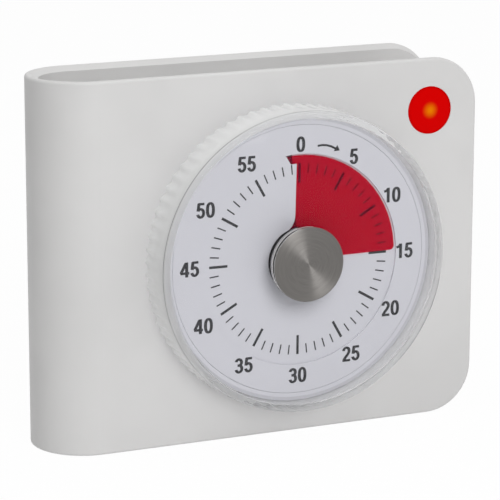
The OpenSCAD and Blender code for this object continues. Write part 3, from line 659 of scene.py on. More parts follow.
@dataclass(frozen=True)
class TurnedMetal(Finish):
    """Metal turned on a lathe round an axis along Y, so that its gloss fans out.

    Attributes:
        stretch: How far the gloss is drawn out across the rings.
        fine_share: How much of the pattern is fine rings; the rest is broad ones.
        contrast: Values of the pattern that are wholly dark and wholly bright.
        tones: Brightness of dark and bright rings, as a share of the colour's.
        spread: How far below and above the mean the roughness goes.
    """

    stretch: float = 0.85
    fine_share: float = 0.65
    contrast: Pair = (0.3, 0.7)
    tones: Pair = (0.82, 1.12)
    spread: Pair = (0.05, 0.07)

    def dress(self, graph: Graph) -> None:
        """Links the rings to colour and roughness, and draws the gloss out across them.

        Args:
            graph: The material's graph.
        """
        sockets = {"Centre": self.centre}
        rings = graph.add("ShaderNodeGroup", sockets, node_tree=turned_rings()).outputs
        fine = graph.maths("MULTIPLY", rings["Fine"], self.fine_share)
        broad = graph.maths("MULTIPLY", rings["Broad"], 1.0 - self.fine_share)
        mixed = graph.maths("ADD", fine, broad)
        dark, bright = (tone(self.colour, share) for share in self.tones)
        low, high = self.roughness - self.spread[0], self.roughness + self.spread[1]
        across = {"Vector": graph.across(self.centre)}
        spaces = {"vector_type": "VECTOR", "convert_from": "OBJECT", "convert_to": "WORLD"}
        outwards = graph.add("ShaderNodeVectorTransform", across, **spaces)
        graph.wear(
            base_color=graph.blend(graph.band(mixed, *self.contrast), dark, bright),
            roughness=graph.band(mixed, *self.contrast, low, high),
            tangent=graph.vector("NORMALIZE", outwards.outputs[0]),
            metallic=1.0,
            anisotropic=self.stretch,
        )


def let_light_through(graph: Graph, colour: Colour, always: float = 0.0) -> None:
    """Lets light to and from what is behind a clear piece pass, and a share of other rays."""
    share = graph.maths("MAXIMUM", graph.rays("Shadow", "Diffuse"), always)
    graph.cover(share, graph.add("ShaderNodeBsdfTransparent", {"Color": tone(colour)}))


@dataclass(frozen=True)
class ClearPlastic(Finish):
    """Polished clear plastic. Light reaches what is under it without being blocked.

    Attributes:
        index: Its refractive index. A low one stands for a surface that hardly mirrors.
        patch_scale: Scale of the patches in its polish.
        contrast: Values of the patches that are wholly smooth and wholly rough.
        spread: Roughness there, as a share of the mean.
    """

    index: float = 1.14
    patch_scale: float = 60.0
    contrast: Pair = (0.3, 0.7)
    spread: Pair = (0.6, 1.4)

    def dress(self, graph: Graph) -> None:
        """Makes the shader clear and lets light through.

        Args:
            graph: The material's graph.
        """
        low, high = (self.roughness * share for share in self.spread)
        patch = graph.noise(self.patch_scale)
        graph.wear(
            transmission_weight=1.0,
            ior=self.index,
            roughness=graph.band(patch, *self.contrast, low, high),
        )
        let_light_through(graph, self.colour)


@dataclass(frozen=True)
class FrostedPlastic(MouldedPlastic):
    """Clear plastic with a frosted skin, which looks milky.

    Attributes:
        cover: How much of what is behind it the skin hides at the open end.
        thin_cover: How much it hides near the front, where it has no coat either.
        fade: How far towards the reader the change starts and ends, in metres.
        coat_roughness: Roughness of the coat.
        passing: Colour of the light that goes through it.
    """

    cover: float = 0.82
    thin_cover: float = 0.55
    fade: Pair = (0.0185, 0.0245)
    coat_roughness: float = 0.12
    passing: Colour = (0.98, 0.98, 0.98)

    def dress(self, graph: Graph) -> None:
        """Thins the moulded surface towards the front and lets light through.

        Args:
            graph: The material's graph.
        """
        super().dress(graph)
        depth = graph.maths("MULTIPLY", graph.part(graph.place(), "Y"), -1.0)
        graph.wear(
            alpha=graph.band(depth, *self.fade, self.cover, self.thin_cover),
            coat_weight=graph.band(depth, *self.fade, self.coat, 0.0),
            coat_roughness=self.coat_roughness,
        )
        let_light_through(graph, self.passing)


@dataclass(frozen=True)
class DyedFilm(Finish):
    """Thin dyed film, through which the print below it still shows.

    Attributes:
        tint: What colour the light that goes through each face takes on.
        cover: How much of what is behind it each face hides.
        middle: Radii between which its painted shade towards the hub gives way to its colour, in
            metres.
        dim: Brightness of the painted shade inside of that, as a share of its colour's.
        patch_scale: Scale of its patches.
        patch_dim: Brightness of its patches, as a share.
        contrast: Values of the patches that are wholly dim and wholly bright.
        gloss_contrast: Values of the patches that are smoothest and roughest.
        spread: How far below and above the mean the roughness goes.
        level: Specular level.
    """

    tint: Colour = (0.97, 0.1, 0.22)
    cover: float = 0.2
    middle: Pair = (0.01155, 0.021)
    dim: float = 0.84
    patch_scale: float = 45.0
    patch_dim: float = 0.88
    contrast: Pair = (0.2, 0.6)
    gloss_contrast: Pair = (0.2, 0.8)
    spread: Pair = (0.04, 0.05)
    level: float = 0.15

    def dress(self, graph: Graph) -> None:
        """Thins the film and paints a little shade on it towards the hub.

        Args:
            graph: The material's graph.
        """
        # Painted shade: the film darkens towards the hub.
        out = graph.band(graph.radius(self.centre), *self.middle)
        patch = graph.noise(self.patch_scale)
        bright = graph.band(patch, *self.contrast, self.patch_dim, 1.0)
        shade = graph.maths("MULTIPLY", out, bright)
        low, high = self.roughness - self.spread[0], self.roughness + self.spread[1]
        graph.wear(
            base_color=graph.blend(shade, tone(self.colour, self.dim), tone(self.colour)),
            roughness=graph.band(patch, *self.gloss_contrast, low, high),
            specular_ior_level=self.level,
        )
        let_light_through(graph, self.tint, 1.0 - self.cover)


@dataclass(frozen=True)
class GlowingLens(Finish):
    """Red lens with a lit diode behind its middle.

    Attributes:
        rim: Radii between which the painted shade of its edge sets in, in metres.
        rim_colour: Colour of the edge, darkened as painted shade for the gap round the lens.
        light: Colour of the light from all of it.
        glow: Colour of the light from its middle.
        glow_radius: Radius of the glow, in metres.
        level: Specular level.
    """

    rim: Pair = (0.0070, 0.0081)
    rim_colour: Colour = (0.35, 0.0, 0.0)
    light: Colour = (0.22, 0.0, 0.0)
    glow: Colour = (0.36, 0.2, 0.0)
    glow_radius: float = 0.0034
    level: float = 0.02

    def dress(self, graph: Graph) -> None:
        """Adds the glow, which fades from the middle, and the painted shade at the edge.

        Args:
            graph: The material's graph.
        """
        radius = graph.radius(self.centre)
        rim = graph.band(radius, *self.rim)
        hot = graph.band(radius, 0.0, self.glow_radius, 1.0, 0.0)
        graph.wear(
            base_color=graph.blend(rim, tone(self.colour), tone(self.rim_colour)),
            emission_color=graph.blend(hot, tone(self.light), tone(self.glow)),
            emission_strength=1.0,
            specular_ior_level=self.level,
        )


@dataclass(frozen=True)
class PrintedInk(Finish):
    """Dark printing ink, unevenly dense.

    Attributes:
        speck_scale: Scale of its specks.
        thin: Brightness where it is thin, as a share.
    """

    speck_scale: float = 900.0
    thin: float = 1.25

    def dress(self, graph: Graph) -> None:
        """Varies the ink's darkness.

        Args:
            graph: The material's graph.
        """
        specks = graph.noise(self.speck_scale)
        thin = tone(self.colour, self.thin)
        graph.wear(base_color=graph.blend(specks, tone(self.colour), thin))


@dataclass(frozen=True)
class LacqueredBoard(Finish):
    """Circuit board with copper tracks under green lacquer.

    Attributes:
        cell_scale: Scale of the cells between the tracks.
        scatter: How unevenly the cells lie.
        border: Distances from a cell's middle between which its track starts.
        bright: Brightness of the tracks, as a share of the colour's, and lift after that.
        thickness: Height of the tracks, in metres.
        coat: Weight of the lacquer's gloss.
    """

    cell_scale: float = 330.0
    scatter: float = 0.85
    border: Pair = (0.28, 0.34)
    bright: Pair = (1.9, 0.03)
    thickness: float = 0.00003
    coat: float = 0.4

    def dress(self, graph: Graph) -> None:
        """Draws tracks as the borders of a square cell pattern.

        Args:
            graph: The material's graph.
        """
        sockets = {"Vector": graph.place(), "Scale": self.cell_scale, "Randomness": self.scatter}
        cells = graph.add("ShaderNodeTexVoronoi", sockets, distance="MANHATTAN")
        track = graph.band(cells.outputs["Distance"], *self.border)
        relief = {"Height": track, "Distance": self.thickness}
        copper = tone(self.colour, *self.bright)
        graph.wear(
            base_color=graph.blend(track, copper, tone(self.colour)),
            normal=graph.add("ShaderNodeBump", relief, invert=True).outputs[0],
            coat_weight=self.coat,
        )


@dataclass(frozen=True)
class CellSleeve(Finish):
    """Printed sleeve of a battery with a band near each end and bare metal at both ends.

    Attributes:
        middle: Distance of the batteries' middle along x from the origin, in metres.
        half: Half the sleeve's length, in metres.
        band_width: Width of the bands.
        fringe: Width of the change from one colour to the next.
        band_colour: Colour of the bands.
        metal: Colour of the bare metal.
    """

    middle: float = 0.0
    half: float = 0.0235
    band_width: float = 0.0110
    fringe: float = 0.0002
    band_colour: Colour = (0.62, 0.60, 0.57)
    metal: Colour = (0.70, 0.69, 0.66)

    def dress(self, graph: Graph) -> None:
        """Draws the bands and the bare ends by place along x.

        Args:
            graph: The material's graph.
        """
        along = graph.maths("SUBTRACT", graph.part(graph.place(), "X"), self.middle)
        out = graph.maths("ABSOLUTE", along)
        bare = graph.band(out, self.half, self.half + self.fringe)
        start = self.half - self.band_width
        banded = graph.band(out, start, start + self.fringe)
        sleeve = graph.blend(banded, tone(self.colour), tone(self.band_colour))
        graph.wear(base_color=graph.blend(bare, sleeve, tone(self.metal)), metallic=bare)


# ---- the finishes in use

AXIS_POINT = tuple(DIAL.point(0, 0, 0))
LAMP_POINT = tuple(LAMP.point(0, 0, 0))

HOUSING_WHITE = MouldedPlastic("housing white", (0.70, 0.695, 0.69), 0.46, level=0.3)
FRAME_WHITE = MouldedPlastic("frame white", (0.66, 0.655, 0.65), 0.55, grain=1500.0)
DIAL_WHITE = MouldedPlastic("dial white", (0.645, 0.645, 0.685), 0.5, shade=0.98, level=0.2)
# The drum's white has painted shade in a band near its rim.
DRUM_WHITE_RIM_SHADE = RimmedPlastic(
    "drum white rim shade", (0.645, 0.645, 0.685), 0.5, shade=0.98, level=0.2, centre=AXIS_POINT
)
BLACK_PLASTIC = MouldedPlastic("black plastic", (0.012, 0.012, 0.014), 0.45, shade=1.6)
GREY_PLASTIC = MouldedPlastic("grey plastic", (0.45, 0.45, 0.44), 0.5)
WHEEL_PLASTIC = MouldedPlastic("acetal", (0.76, 0.72, 0.60), 0.35)
# Darker than bare steel: painted shade for the dim surroundings that the knob mirrors.
SPUN_STEEL = TurnedMetal(
    "spun steel", (0.205, 0.196, 0.187), 0.42, centre=AXIS_POINT, stretch=0.95
)
# A brighter copy of the knob's steel, which paints a highlight line on the disc's edge; the sleeve
# wears it too.
PAINTED_HIGHLIGHT_STEEL = PlainMetal("steel with painted highlight", (0.56, 0.55, 0.54), 0.2)
# Dark plastic for a thin band on the cap: painted shade along the front's edge.
CAP_SHADE_LINE = MouldedPlastic("cap painted shade line", (0.16, 0.16, 0.17), 0.3)
BRASS = TurnedMetal("turned brass", (0.75, 0.56, 0.24), 0.32, centre=AXIS_POINT, stretch=0.5)
ZINC = PlainMetal("bright zinc", (0.62, 0.62, 0.63), 0.32)
NICKEL = PlainMetal("nickel", (0.72, 0.70, 0.66), 0.25)
COPPER_WIRE = PlainMetal("enamelled copper", (0.66, 0.28, 0.12), 0.34, grain=5200.0)
CLEAR = ClearPlastic("clear acrylic", (0.985, 0.985, 0.99), 0.03)
FROSTED = FrostedPlastic("frosted acrylic", (0.86, 0.865, 0.86), 0.35, grain=1200.0, coat=0.9)
RED_FILM = DyedFilm("red film", (0.24, 0.015, 0.09), 0.35, centre=AXIS_POINT)
LENS = GlowingLens("red lens", (0.45, 0.0, 0.0), 0.3, centre=LAMP_POINT)
LED_RESIN = MouldedPlastic("amber resin", (0.85, 0.32, 0.05), 0.15, coat=0.5)
BOARD = LacqueredBoard("board lacquer", (0.02, 0.16, 0.05), 0.35)
SLEEVE = CellSleeve("battery sleeve", (0.02, 0.07, 0.20), 0.3, middle=0.0068)
RED_WIRE = MouldedPlastic("red insulation", (0.45, 0.015, 0.015), 0.4)
BLACK_WIRE = MouldedPlastic("black insulation", (0.015, 0.015, 0.015), 0.4, shade=1.5)
INK = PrintedInk("dial ink", (0.016, 0.016, 0.019), 0.5)

WORN_BY: dict[Finish, tuple[str, ...]] = {
    HOUSING_WHITE: ("housing_shell", "battery_door"),
    FRAME_WHITE: ("inner_frame", "lamp_holder", "battery_tray"),
    DIAL_WHITE: ("dial_plate",),
    DRUM_WHITE_RIM_SHADE: ("dial_drum",),
    BLACK_PLASTIC: ("turning_hub", "controller_chip", "sounder"),
    GREY_PLASTIC: ("works_case", "works_cover", "sound_slider"),
    WHEEL_PLASTIC: ("intermediate_wheel", "third_wheel"),
    SPUN_STEEL: ("knob_face",),
    BRASS: ("spindle_bush", "centre_wheel"),
    ZINC: ("hub_screw", "spindle", "spindle_clip", "clutch_spring", "rotor")
    + ("frame_screws", "drum_screws", "works_screws", "board_screws"),
    NICKEL: ("stator", "crystal_can", "switch_body", "battery_springs", "battery_contacts"),
    COPPER_WIRE: ("drive_coil",),
    CLEAR: ("clear_cap",),
    RED_FILM: ("red_film",),
    LENS: ("alarm_lens",),
    LED_RESIN: ("alarm_led",),
    BOARD: ("circuit_board",),
    SLEEVE: ("batteries",),
    RED_WIRE: ("lamp_lead",),
    BLACK_WIRE: ("battery_lead",),
}
NODE_FINISHES = {node: finish for finish, nodes in WORN_BY.items() for node in nodes}


def dress_nodes(nodes: dict[str, Object]) -> None:
    """Gives every node of the part its finish.

    Args:
        nodes: The part's nodes by name.
    """
    for name, obj in nodes.items():
        material = NODE_FINISHES[name].material()
        for slot in obj.material_slots:
            slot.material = material
        LOG.info("%s: %s", name, material.name)


# ---- numerals


def bow(centre: Pair, radii: Pair, start: float, end: float, step: float = 12) -> list[Pair]:
    """Returns points along part of an ellipse.

    Args:
        centre: Its centre.
        radii: Its half width and half height.
        start: Angle of the first point, in degrees, counter-clockwise from the right.
        end: Angle of the last point.
        step: About how many degrees lie between two points.

    Returns:
        The points.
    """
    steps = max(2, round(abs(end - start) / step))
    angles = [math.radians(start + (end - start) * i / steps) for i in range(steps + 1)]
    (x, y), (half_width, half_height) = centre, radii
    return [(x + half_width * math.cos(a), y + half_height * math.sin(a)) for a in angles]


def loop(centre: Pair, radii: Pair, power: float, sides: int = 36) -> list[Pair]:
    """Returns points round a squarish oval.

    Args:
        centre: Its centre.
        radii: Its half width and half height.
        power: 2 for an ellipse; larger for straighter sides.
        sides: Number of points.

    Returns:
        The points.
    """

    def reach(radius: float, share: float) -> float:
        """Returns how far out a point lies."""
        return radius * math.copysign(abs(share) ** (2 / power), share)

    angles = [math.tau * i / sides for i in range(sides)]
    return [
        (centre[0] + reach(radii[0], math.cos(a)), centre[1] + reach(radii[1], math.sin(a)))
        for a in angles
    ]


@dataclass(frozen=True)
class Numeral:
    """The pen strokes of one bold, narrow numeral, in millimetres.

    Attributes:
        width: Its width.
        strokes: The middle line of each stroke.
        closed: Whether the strokes are loops.
    """

    width: float
    strokes: tuple[Path2D, ...]
    closed: bool = False


NUMERAL_H = 5.3
NUMERALS: dict[str, Numeral] = {
    "0": Numeral(2.6, (loop((1.3, 2.65), (0.9, 2.34), 2.4),), closed=True),
    "1": Numeral(1.8, (
        [(1.4, 0.0), (1.4, 5.3)],
        [(1.45, 5.05), (1.12, 4.55), (0.72, 4.22), (0.08, 4.0)],
    )),
    "2": Numeral(2.6, (
        bow((1.3, 3.78), (0.88, 1.21), 178, -22) + [(1.72, 2.45), (1.0, 1.45), (0.5, 0.5)],
        [(0.08, 0.31), (2.55, 0.31)],
    )),
    "3": Numeral(2.6, (
        bow((1.26, 3.88), (0.84, 1.11), 168, -90) + [(0.85, 2.77)],
        [(0.85, 2.8)] + bow((1.28, 1.56), (0.9, 1.25), 90, -168),
    )),
    "4": Numeral(2.75, (
        [(1.95, 0.0), (1.95, 5.3)],
        [(1.75, 5.1), (0.22, 1.5)],
        [(0.02, 1.42), (2.72, 1.42)],
    )),
    "5": Numeral(2.6, (
        [(0.5, 4.99), (2.42, 4.99)],
        [(0.8, 5.25), (0.5, 2.5)],
        bow((1.28, 1.76), (0.9, 1.45), 148, -166),
    )),
}


# ---- sub-assemblies


@dataclass
class DialPrint:
    """The scale, the numbers and the arrow that are printed on the dial plate.

    Attributes:
        turn: How far the print sits turned clockwise on the plate, in degrees.
        face_z: Height of the plate's flat ring.
        pitch: Rise of the spiral skin over one turn.
        drop: How far the skin's end lies under the ring's face.
        every: Minutes from one number to the next.
        mark_outer: Outer radius of the marks.
        long_mark: Inner radius and width of the marks at the numbers.
        short_mark: Inner radius and width of the other marks.
        ink: Thickness of the ink, which also sinks in by as much.
        ink_bevel: Bevel of the marks' edges, as a share of that.
        nudges: How far right and up of their circle the numbers lie, from 0 on.
        number_r: Radius of the circle that the numbers' middles lie on.
        wide: Width of the numerals, over that of their drawing.
        tall: Height of the numerals, over that of their drawing.
        pen: Width of the numerals' upright strokes.
        pen_flat: Thickness of their level strokes, over that of the upright ones.
        pen_rounding: Number of steps that round off a stroke's sides.
        spacing: Gap between two numerals.
        after_one: Gap after a 1, over that.
        shaft: Middle line of the arrow's shaft.
        shaft_pen: Width of the shaft.
        head: Corners of the arrow's head.
        lip_bore: Radius of the plate's hole beside the slit.
        lip_spread: Angles of the lip's corners on that hole, in degrees up from the left.
        lip_edge: The lip's other edge.
        lip_angle: Where on the skin it lies, in degrees clockwise from zero.
        lip_t: Thickness of the slit's lip.
    """

    turn: float = 0.6
    face_z: float = 9.9
    pitch: float = 1.0
    drop: float = 0.03
    every: int = 5
    mark_outer: float = 32.8
    long_mark: Pair = (26.2, 0.9)
    short_mark: Pair = (29.5, 0.46)
    ink: float = 0.03
    ink_bevel: float = 0.6
    nudges: Path2D = (
        (-0.15, 0.0), (-0.12, -0.17), (0.15, 0.0), (0.05, -0.06), (0.4, -0.2), (0.2, -0.36),
        (-0.1, -0.65), (-0.35, -0.46), (-0.72, 0.05), (-0.5, 0.1), (-0.24, -0.08), (0.0, -0.1),
    )
    number_r: float = 39.4
    wide: float = 1.18
    tall: float = 0.955
    pen: float = 1.1
    pen_flat: float = 0.78
    pen_rounding: int = 2
    spacing: float = 0.34
    after_one: float = 2.6
    shaft: Path2D = tuple(bow((8.03, 29.9), (8.76, 8.62), 100.4, 55.1))
    shaft_pen: float = 0.74
    head: Path2D = ((13.7, 38.15), (14.65, 36.2), (12.4, 36.1))
    lip_bore: float = 11.32
    lip_spread: tuple[float, ...] = (42, 46, 50, 54, 57)
    lip_edge: Path2D = tuple(bow((-8.1, 15.6), (6.5, 6.5), -76, -98))
    lip_angle: float = 318
    lip_t: float = 0.3

    def skin_level(self, angle: float) -> float:
        """Returns the height of the spiral skin at an angle clockwise from zero."""
        return self.face_z - self.drop - self.pitch * (1 - angle / 360)

    def mark(self, minute: int) -> Object:
        """Makes the mark of one minute.

        Args:
            minute: The minute, from 0 to 59.

        Returns:
            The mark, in face-frame millimetres.
        """
        inner, width = self.short_mark if minute % self.every else self.long_mark
        angle = DEGREES_PER_MINUTE * minute
        deselect()
        bpy.ops.mesh.primitive_cube_add(
            size=1,
            location=(0, (inner + self.mark_outer) / 2, self.skin_level(angle)),
            scale=(width, self.mark_outer - inner, 2 * self.ink),
        )
        obj = bpy.context.object
        bpy.ops.object.transform_apply(location=True, rotation=True, scale=True)
        edit(obj)
        bpy.ops.mesh.bevel(offset=self.ink * self.ink_bevel, segments=1, affect="EDGES")
        done()
        settle(obj, Matrix.Rotation(-math.radians(angle + self.turn), 4, "Z"))
        return obj

    def drawn(self, strokes: Sequence[tuple[Path2D, bool]], pen: float, flat: float) -> Object:
        """Draws strokes in ink, round the height where the ink lies.

        Args:
            strokes: The middle line of each stroke, and whether it is a loop.
            pen: Width of upright strokes.
            flat: Thickness of level strokes, over that of upright ones.

        Returns:
            The strokes as one mesh.
        """
        deselect()
        bpy.ops.curve.primitive_bezier_curve_add()
        obj = bpy.context.object
        curve = obj.data
        curve.splines.clear()
        curve.dimensions = "3D"
        curve.bevel_depth = pen / 2
        curve.bevel_resolution = self.pen_rounding
        curve.use_fill_caps = True
        for stroke, closed in strokes:
            spline = curve.splines.new("POLY")
            spline.points.add(len(stroke) - 1)
            for point, (x, y) in zip(spline.points, stroke):
                point.co = (x, y / flat, 0, 1)
            spline.use_cyclic_u = closed
        choose(obj)
        bpy.ops.object.convert(target="MESH")
        obj = bpy.context.object
        settle(obj, Matrix.Diagonal((1, flat, 2 * self.ink / pen, 1)))
        return obj

    def number(self, minute: int) -> Object:
        """Makes one number, which stands upright.

        Args:
            minute: The number.

        Returns:
            The number as a mesh, in face-frame millimetres.
        """
        strokes = []
        left = 0.0
        for digit in str(minute):
            numeral = NUMERALS[digit]
            for stroke in numeral.strokes:
                path = [
                    (self.wide * (left + x), self.tall * (y - NUMERAL_H / 2)) for x, y in stroke
                ]
                strokes.append((path, numeral.closed))
            left += numeral.width + self.spacing * (self.after_one if digit == "1" else 1)
        obj = self.drawn(strokes, self.pen, self.pen_flat)
        half_width = self.wide * (left - self.spacing) / 2
        angle = math.radians(DEGREES_PER_MINUTE * minute + self.turn)
        right, up = self.nudges[minute // self.every]
        right += self.number_r * math.sin(angle) - half_width
        up += self.number_r * math.cos(angle)
        settle(obj, Matrix.Translation((right, up, self.face_z)))
        return obj

    def arrow(self) -> Object:
        """Makes and returns the curved arrow that shows which way the knob is turned."""
        shaft = self.drawn([(self.shaft, False)], self.shaft_pen, 1.0)
        settle(shaft, Matrix.Translation((0, 0, self.face_z)))
        tip = slab("arrow_tip", self.head, self.face_z - self.ink, 2 * self.ink)
        return merged([shaft, tip], "setting_arrow")

    def lip(self) -> Object:
        """Makes and returns the tail of the slit's upper lip, a point beside the hub."""
        bore = [
            (-self.lip_bore * math.cos(angle), self.lip_bore * math.sin(angle))
            for angle in map(math.radians, self.lip_spread)
        ]
        return slab(
            "slit_lip", [*bore, *self.lip_edge], self.skin_level(self.lip_angle), -self.lip_t
        )

    def build(self) -> None:
        """Makes the print and the lip and puts them on the dial plate."""
        lip = self.lip()
        marks = [self.mark(minute) for minute in range(MINUTES)]
        numbers = [self.number(minute) for minute in range(0, MINUTES, self.every)]
        pieces = {
            lip: DIAL_WHITE,
            merged(marks, "minute_marks"): INK,
            merged(numbers, "minute_numbers"): INK,
            self.arrow(): INK,
        }
        for piece, finish in pieces.items():
            settle(piece, DIAL.matrix())
            attach(piece, Body.HOUSING, Slot.DIAL, finish)


@dataclass
class ClearCap:
    """The knurled cap that a hand turns, with a clear front and a frosted skirt.

    Attributes:
        outside: Rings of the skirt and the front's rounded edge, from the open end on, as radius
            over the knurls, height, and depth of the knurls there.
        inside: Rings of the front, the hub's hole and the bore, in the same way.
        outline: Heights of the two rings between which the front has a dark line of painted shade.
        lobe: Share of the knurls' depth at even steps over one knurl.
        knurls: Number of knurls.
        clear_r: Radius up to which the front is polished.
        front_z: Height above which faces belong to the front.
        clear_z: Height above which all faces are polished.
        slack: How far off its ring a vertex may lie.
        round_edges: Angle up to which edges are shaded smooth, in degrees.
    """

    outside: tuple[Point, ...] = (
        (52.18, 0.4, 0.8), (52.08, 4.0, 0.5), (51.95, 8.0, 0.26), (51.76, 12.5, 0.0),
        (51.72, 14.7, 0.0), (51.68, 15.12, 0.0), (51.6, 15.7, 0.0), (51.42, 16.3, 0.0),
        (51.15, 16.74, 0.0), (50.75, 17.0, 0.0),
    )
    inside: tuple[Point, ...] = (
        (5.03, 17.0, 0.0), (5.03, 15.5, 0.0), (48.9, 15.5, 0.0), (49.2, 15.2, 0.0),
        (49.2, 0.4, 0.0),
    )
    outline: Pair = (14.7, 15.12)
    lobe: tuple[float, ...] = (0.0, 0.35, 1.0, 1.0, 0.7, 0.3)
    knurls: int = 75
    clear_r: float = 50.0
    front_z: float = 15.25
    clear_z: float = 15.13
    slack: float = 0.01
    round_edges: float = 40.0

    def shape(self, obj: Object, radius: float, depth: float) -> None:
        """Gives the selected ring of vertices its radius and its knurls.

        Args:
            obj: The cap, in edit mode.
            radius: Radius over the knurls.
            depth: Depth of the knurls.
        """
        step = math.tau / (self.knurls * len(self.lobe))
        mesh = bmesh.from_edit_mesh(obj.data)
        for vert in mesh.verts:
            if vert.select:
                turn = round(math.atan2(vert.co.y, vert.co.x) / step)
                share = self.lobe[turn % len(self.lobe)]
                vert.co.xy = vert.co.xy.normalized() * (radius - share * depth)
        bmesh.update_edit_mesh(obj.data)

    def is_front(self, place: Vector) -> bool:
        """Says whether a place is on the polished front."""
        if place.z > self.clear_z:
            return True
        return place.z > self.front_z and place.xy.length < self.clear_r

    def is_outline(self, place: Vector) -> bool:
        """Says whether a place is on the front's painted line of shade."""
        low, high = self.outline
        return low - self.slack < place.z < high + self.slack

    def build(self) -> None:
        """Makes the cap and puts it in place of the plain one."""
        radius, height, depth = self.outside[0]
        obj = ring("knurled_cap", self.knurls * len(self.lobe), radius, height)
        first = obj.data.vertices[0].co
        settle(obj, Matrix.Rotation(-math.atan2(first.y, first.x), 4, "Z"))
        edit(obj)
        self.shape(obj, radius, depth)
        for radius, level, depth in (*self.outside[1:], *self.inside, self.outside[0]):
            extrude(level - height)
            self.shape(obj, radius, depth)
            height = level
        close_up()
        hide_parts("clear_cap")
        attach(obj, Body.DIAL, Slot.CLEAR, FROSTED, CLEAR, CAP_SHADE_LINE)
        finish_faces(obj, 1, self.is_front)
        # Painted shade: a thin dark band round the front's edge.
        finish_faces(obj, 2, self.is_outline)
        settle(obj, DIAL.matrix())
        smooth(obj, self.round_edges)


@dataclass
class SpunKnob:
    """The turned steel disc in front of the cap, and the sleeve behind it.

    Attributes:
        disc: Outline of the disc up to its flat face, as radius and height.
        face_rings: Radii of the rings on that face, as shares of the disc's.
        rim_r: Radius from which the disc wears the brighter steel, a painted highlight along its
            edge.
        sleeve: Outline of the sleeve, in the same way.
        sides: Number of sides they are turned with.
        round_edges: Angle up to which edges are shaded smooth, in degrees.
    """

    disc: Path2D = (
        (12.55, 17.0), (12.77, 17.08), (12.85, 17.26), (12.85, 17.41), (12.8, 17.57),
        (12.67, 17.7), (12.49, 17.75),
    )
    face_rings: tuple[float, ...] = (0.66, 0.33, 0.04)
    rim_r: float = 12.73
    sleeve: Path2D = (
        (11.06, 13.9), (12.45, 13.9), (12.6, 14.05), (12.6, 15.25), (12.45, 15.4),
        (11.06, 15.4), (11.06, 13.9),
    )
    sides: int = 160
    round_edges: float = 35.0

    def build(self) -> None:
        """Makes the disc, puts it in place of the plain one and adds the sleeve."""
        radius, top = (max(values) for values in zip(*self.disc))
        face = [(radius * share, top) for share in self.face_rings]
        disc = turned("spun_knob", [*self.disc, *face], self.sides)
        sleeve = turned("knob_sleeve", self.sleeve, self.sides)
        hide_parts("knob_face")
        attach(disc, Body.DIAL, Slot.STEEL, SPUN_STEEL, PAINTED_HIGHLIGHT_STEEL)
        # The disc's edge wears the brighter steel: a painted highlight line.
        finish_faces(disc, 1, lambda place: place.xy.length > self.rim_r)
        attach(sleeve, Body.DIAL, Slot.STEEL, PAINTED_HIGHLIGHT_STEEL)
        for piece in (disc, sleeve):
            settle(piece, DIAL.matrix())
            smooth(piece, self.round_edges)


# ---- the studio


@dataclass(frozen=True)
class Lamp:
    """A soft square lamp.

    Attributes:
        name: Its name.
        place: Where it hangs, in metres.
        size: Length of its sides, in metres.
        watts: Its power.
    """

    name: str
    place: Point
    size: float
    watts: float


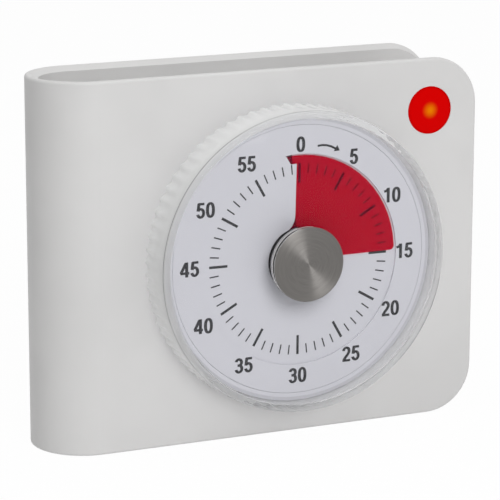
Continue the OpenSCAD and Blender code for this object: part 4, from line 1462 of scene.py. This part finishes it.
@dataclass
class Studio:
    """Floor, lamps, world and camera.

    Attributes:
        focal: Focal length for a sensor this wide, in millimetres.
        sensor: Width of the sensor, in millimetres.
        eye: The camera's place, in metres.
        azimuth: How far round from the front it stands, in degrees.
        elevation: How far it looks down, in degrees.
        roll: Its roll, in degrees.
        nearest: Distance from which it sees, in metres.
        world_strength: Brightness of the even light from all round.
        backdrop: How far the floor is lifted to white where it is seen.
        floor_size: Length of the floor's sides, in metres.
        floor_z: Height of the floor, just under the timer.
        floor_tone: Colour of the floor.
        floor_roughness: Its roughness.
        aim: Where the lamps point.
        lamps: The lamps.
    """

    focal: float = 188.764
    sensor: float = 36.0
    eye: Point = (-0.360598, -0.796836, 0.270484)
    azimuth: float = -24.1783
    elevation: float = 13.3403
    roll: float = 0.1047
    nearest: float = 0.05
    world_strength: float = 0.30
    backdrop: float = 0.97
    floor_size: float = 8.0
    floor_z: float = -0.0001
    floor_tone: Colour = (0.93, 0.93, 0.93)
    floor_roughness: float = 0.9
    aim: Point = (0.0, 0.0, 0.06)
    lamps: tuple[Lamp, ...] = (
        Lamp("key", (-0.04, -1.18, 0.83), 0.8, 10.1),
        Lamp("top", (-0.1, 0.1, 1.3), 0.9, 4.6),
    )

    def seen(self, graph: Graph) -> Socket:
        """Returns 1 for rays from the camera, from gloss and through clear pieces."""
        return graph.rays("Camera", "Glossy", "Transmission")

    def floor(self) -> None:
        """Makes the pale floor, which keeps the timer's shadow."""
        deselect()
        bpy.ops.mesh.primitive_plane_add(size=self.floor_size, location=(0, 0, self.floor_z))
        obj = bpy.context.object
        obj.name = "floor"
        made = bpy.data.materials.new("floor white")
        made.use_nodes = True
        graph = Graph(made.node_tree)
        graph.wear(
            base_color=tone(self.floor_tone),
            roughness=self.floor_roughness,
            specular_ior_level=0.0,
        )
        white = graph.add("ShaderNodeEmission", {"Color": tone((1.0, 1.0, 1.0)), "Strength": 1.0})
        graph.cover(graph.maths("MULTIPLY", self.seen(graph), self.backdrop), white)
        obj.data.materials.append(made)

    def world(self) -> None:
        """Lights the timer evenly and shows white behind it."""
        world = bpy.data.worlds.new("studio")
        bpy.context.scene.world = world
        world.use_nodes = True
        graph = Graph(world.node_tree)
        strength = graph.band(self.seen(graph), 0.0, 1.0, self.world_strength, 1.0)
        background = world.node_tree.nodes["Background"]
        background.inputs["Color"].default_value = tone((1.0, 1.0, 1.0))
        graph.feed(strength, background.inputs["Strength"])

    def lights(self) -> None:
        """Hangs the lamps, each turned to the timer."""
        for lamp in self.lamps:
            data = bpy.data.lights.new(lamp.name, "AREA")
            data.shape = "SQUARE"
            data.size = lamp.size
            data.energy = lamp.watts
            obj = bpy.data.objects.new(lamp.name, data)
            bpy.context.scene.collection.objects.link(obj)
            obj.location = lamp.place
            way = Vector(self.aim) - Vector(lamp.place)
            obj.rotation_euler = way.to_track_quat("-Z", "Y").to_euler()

    def camera(self) -> None:
        """Places the camera."""
        data = bpy.data.cameras.new("camera")
        data.sensor_width = self.sensor
        data.lens = self.focal
        data.clip_start = self.nearest
        obj = bpy.data.objects.new("camera", data)
        bpy.context.scene.collection.objects.link(obj)
        place = Matrix.Translation(self.eye)
        for degrees, axis in ((self.azimuth, "Z"), (90 - self.elevation, "X"), (self.roll, "Z")):
            place @= Matrix.Rotation(math.radians(degrees), 4, axis)
        obj.matrix_world = place
        bpy.context.scene.camera = obj

    def build(self) -> None:
        """Sets up the studio."""
        self.camera()
        self.floor()
        self.world()
        self.lights()
        bpy.context.scene.view_settings.view_transform = "Standard"


def main() -> None:
    """Builds the studio and the timer's pieces in order."""
    logging.basicConfig(level=logging.INFO, format="%(name)s %(message)s")
    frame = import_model()
    deselect()
    Studio().build()
    dress_nodes(frame["nodes"])
    for assembly in (DialPrint(), ClearCap(), SpunKnob()):
        assembly.build()


if __name__ == "__main__":
    main()
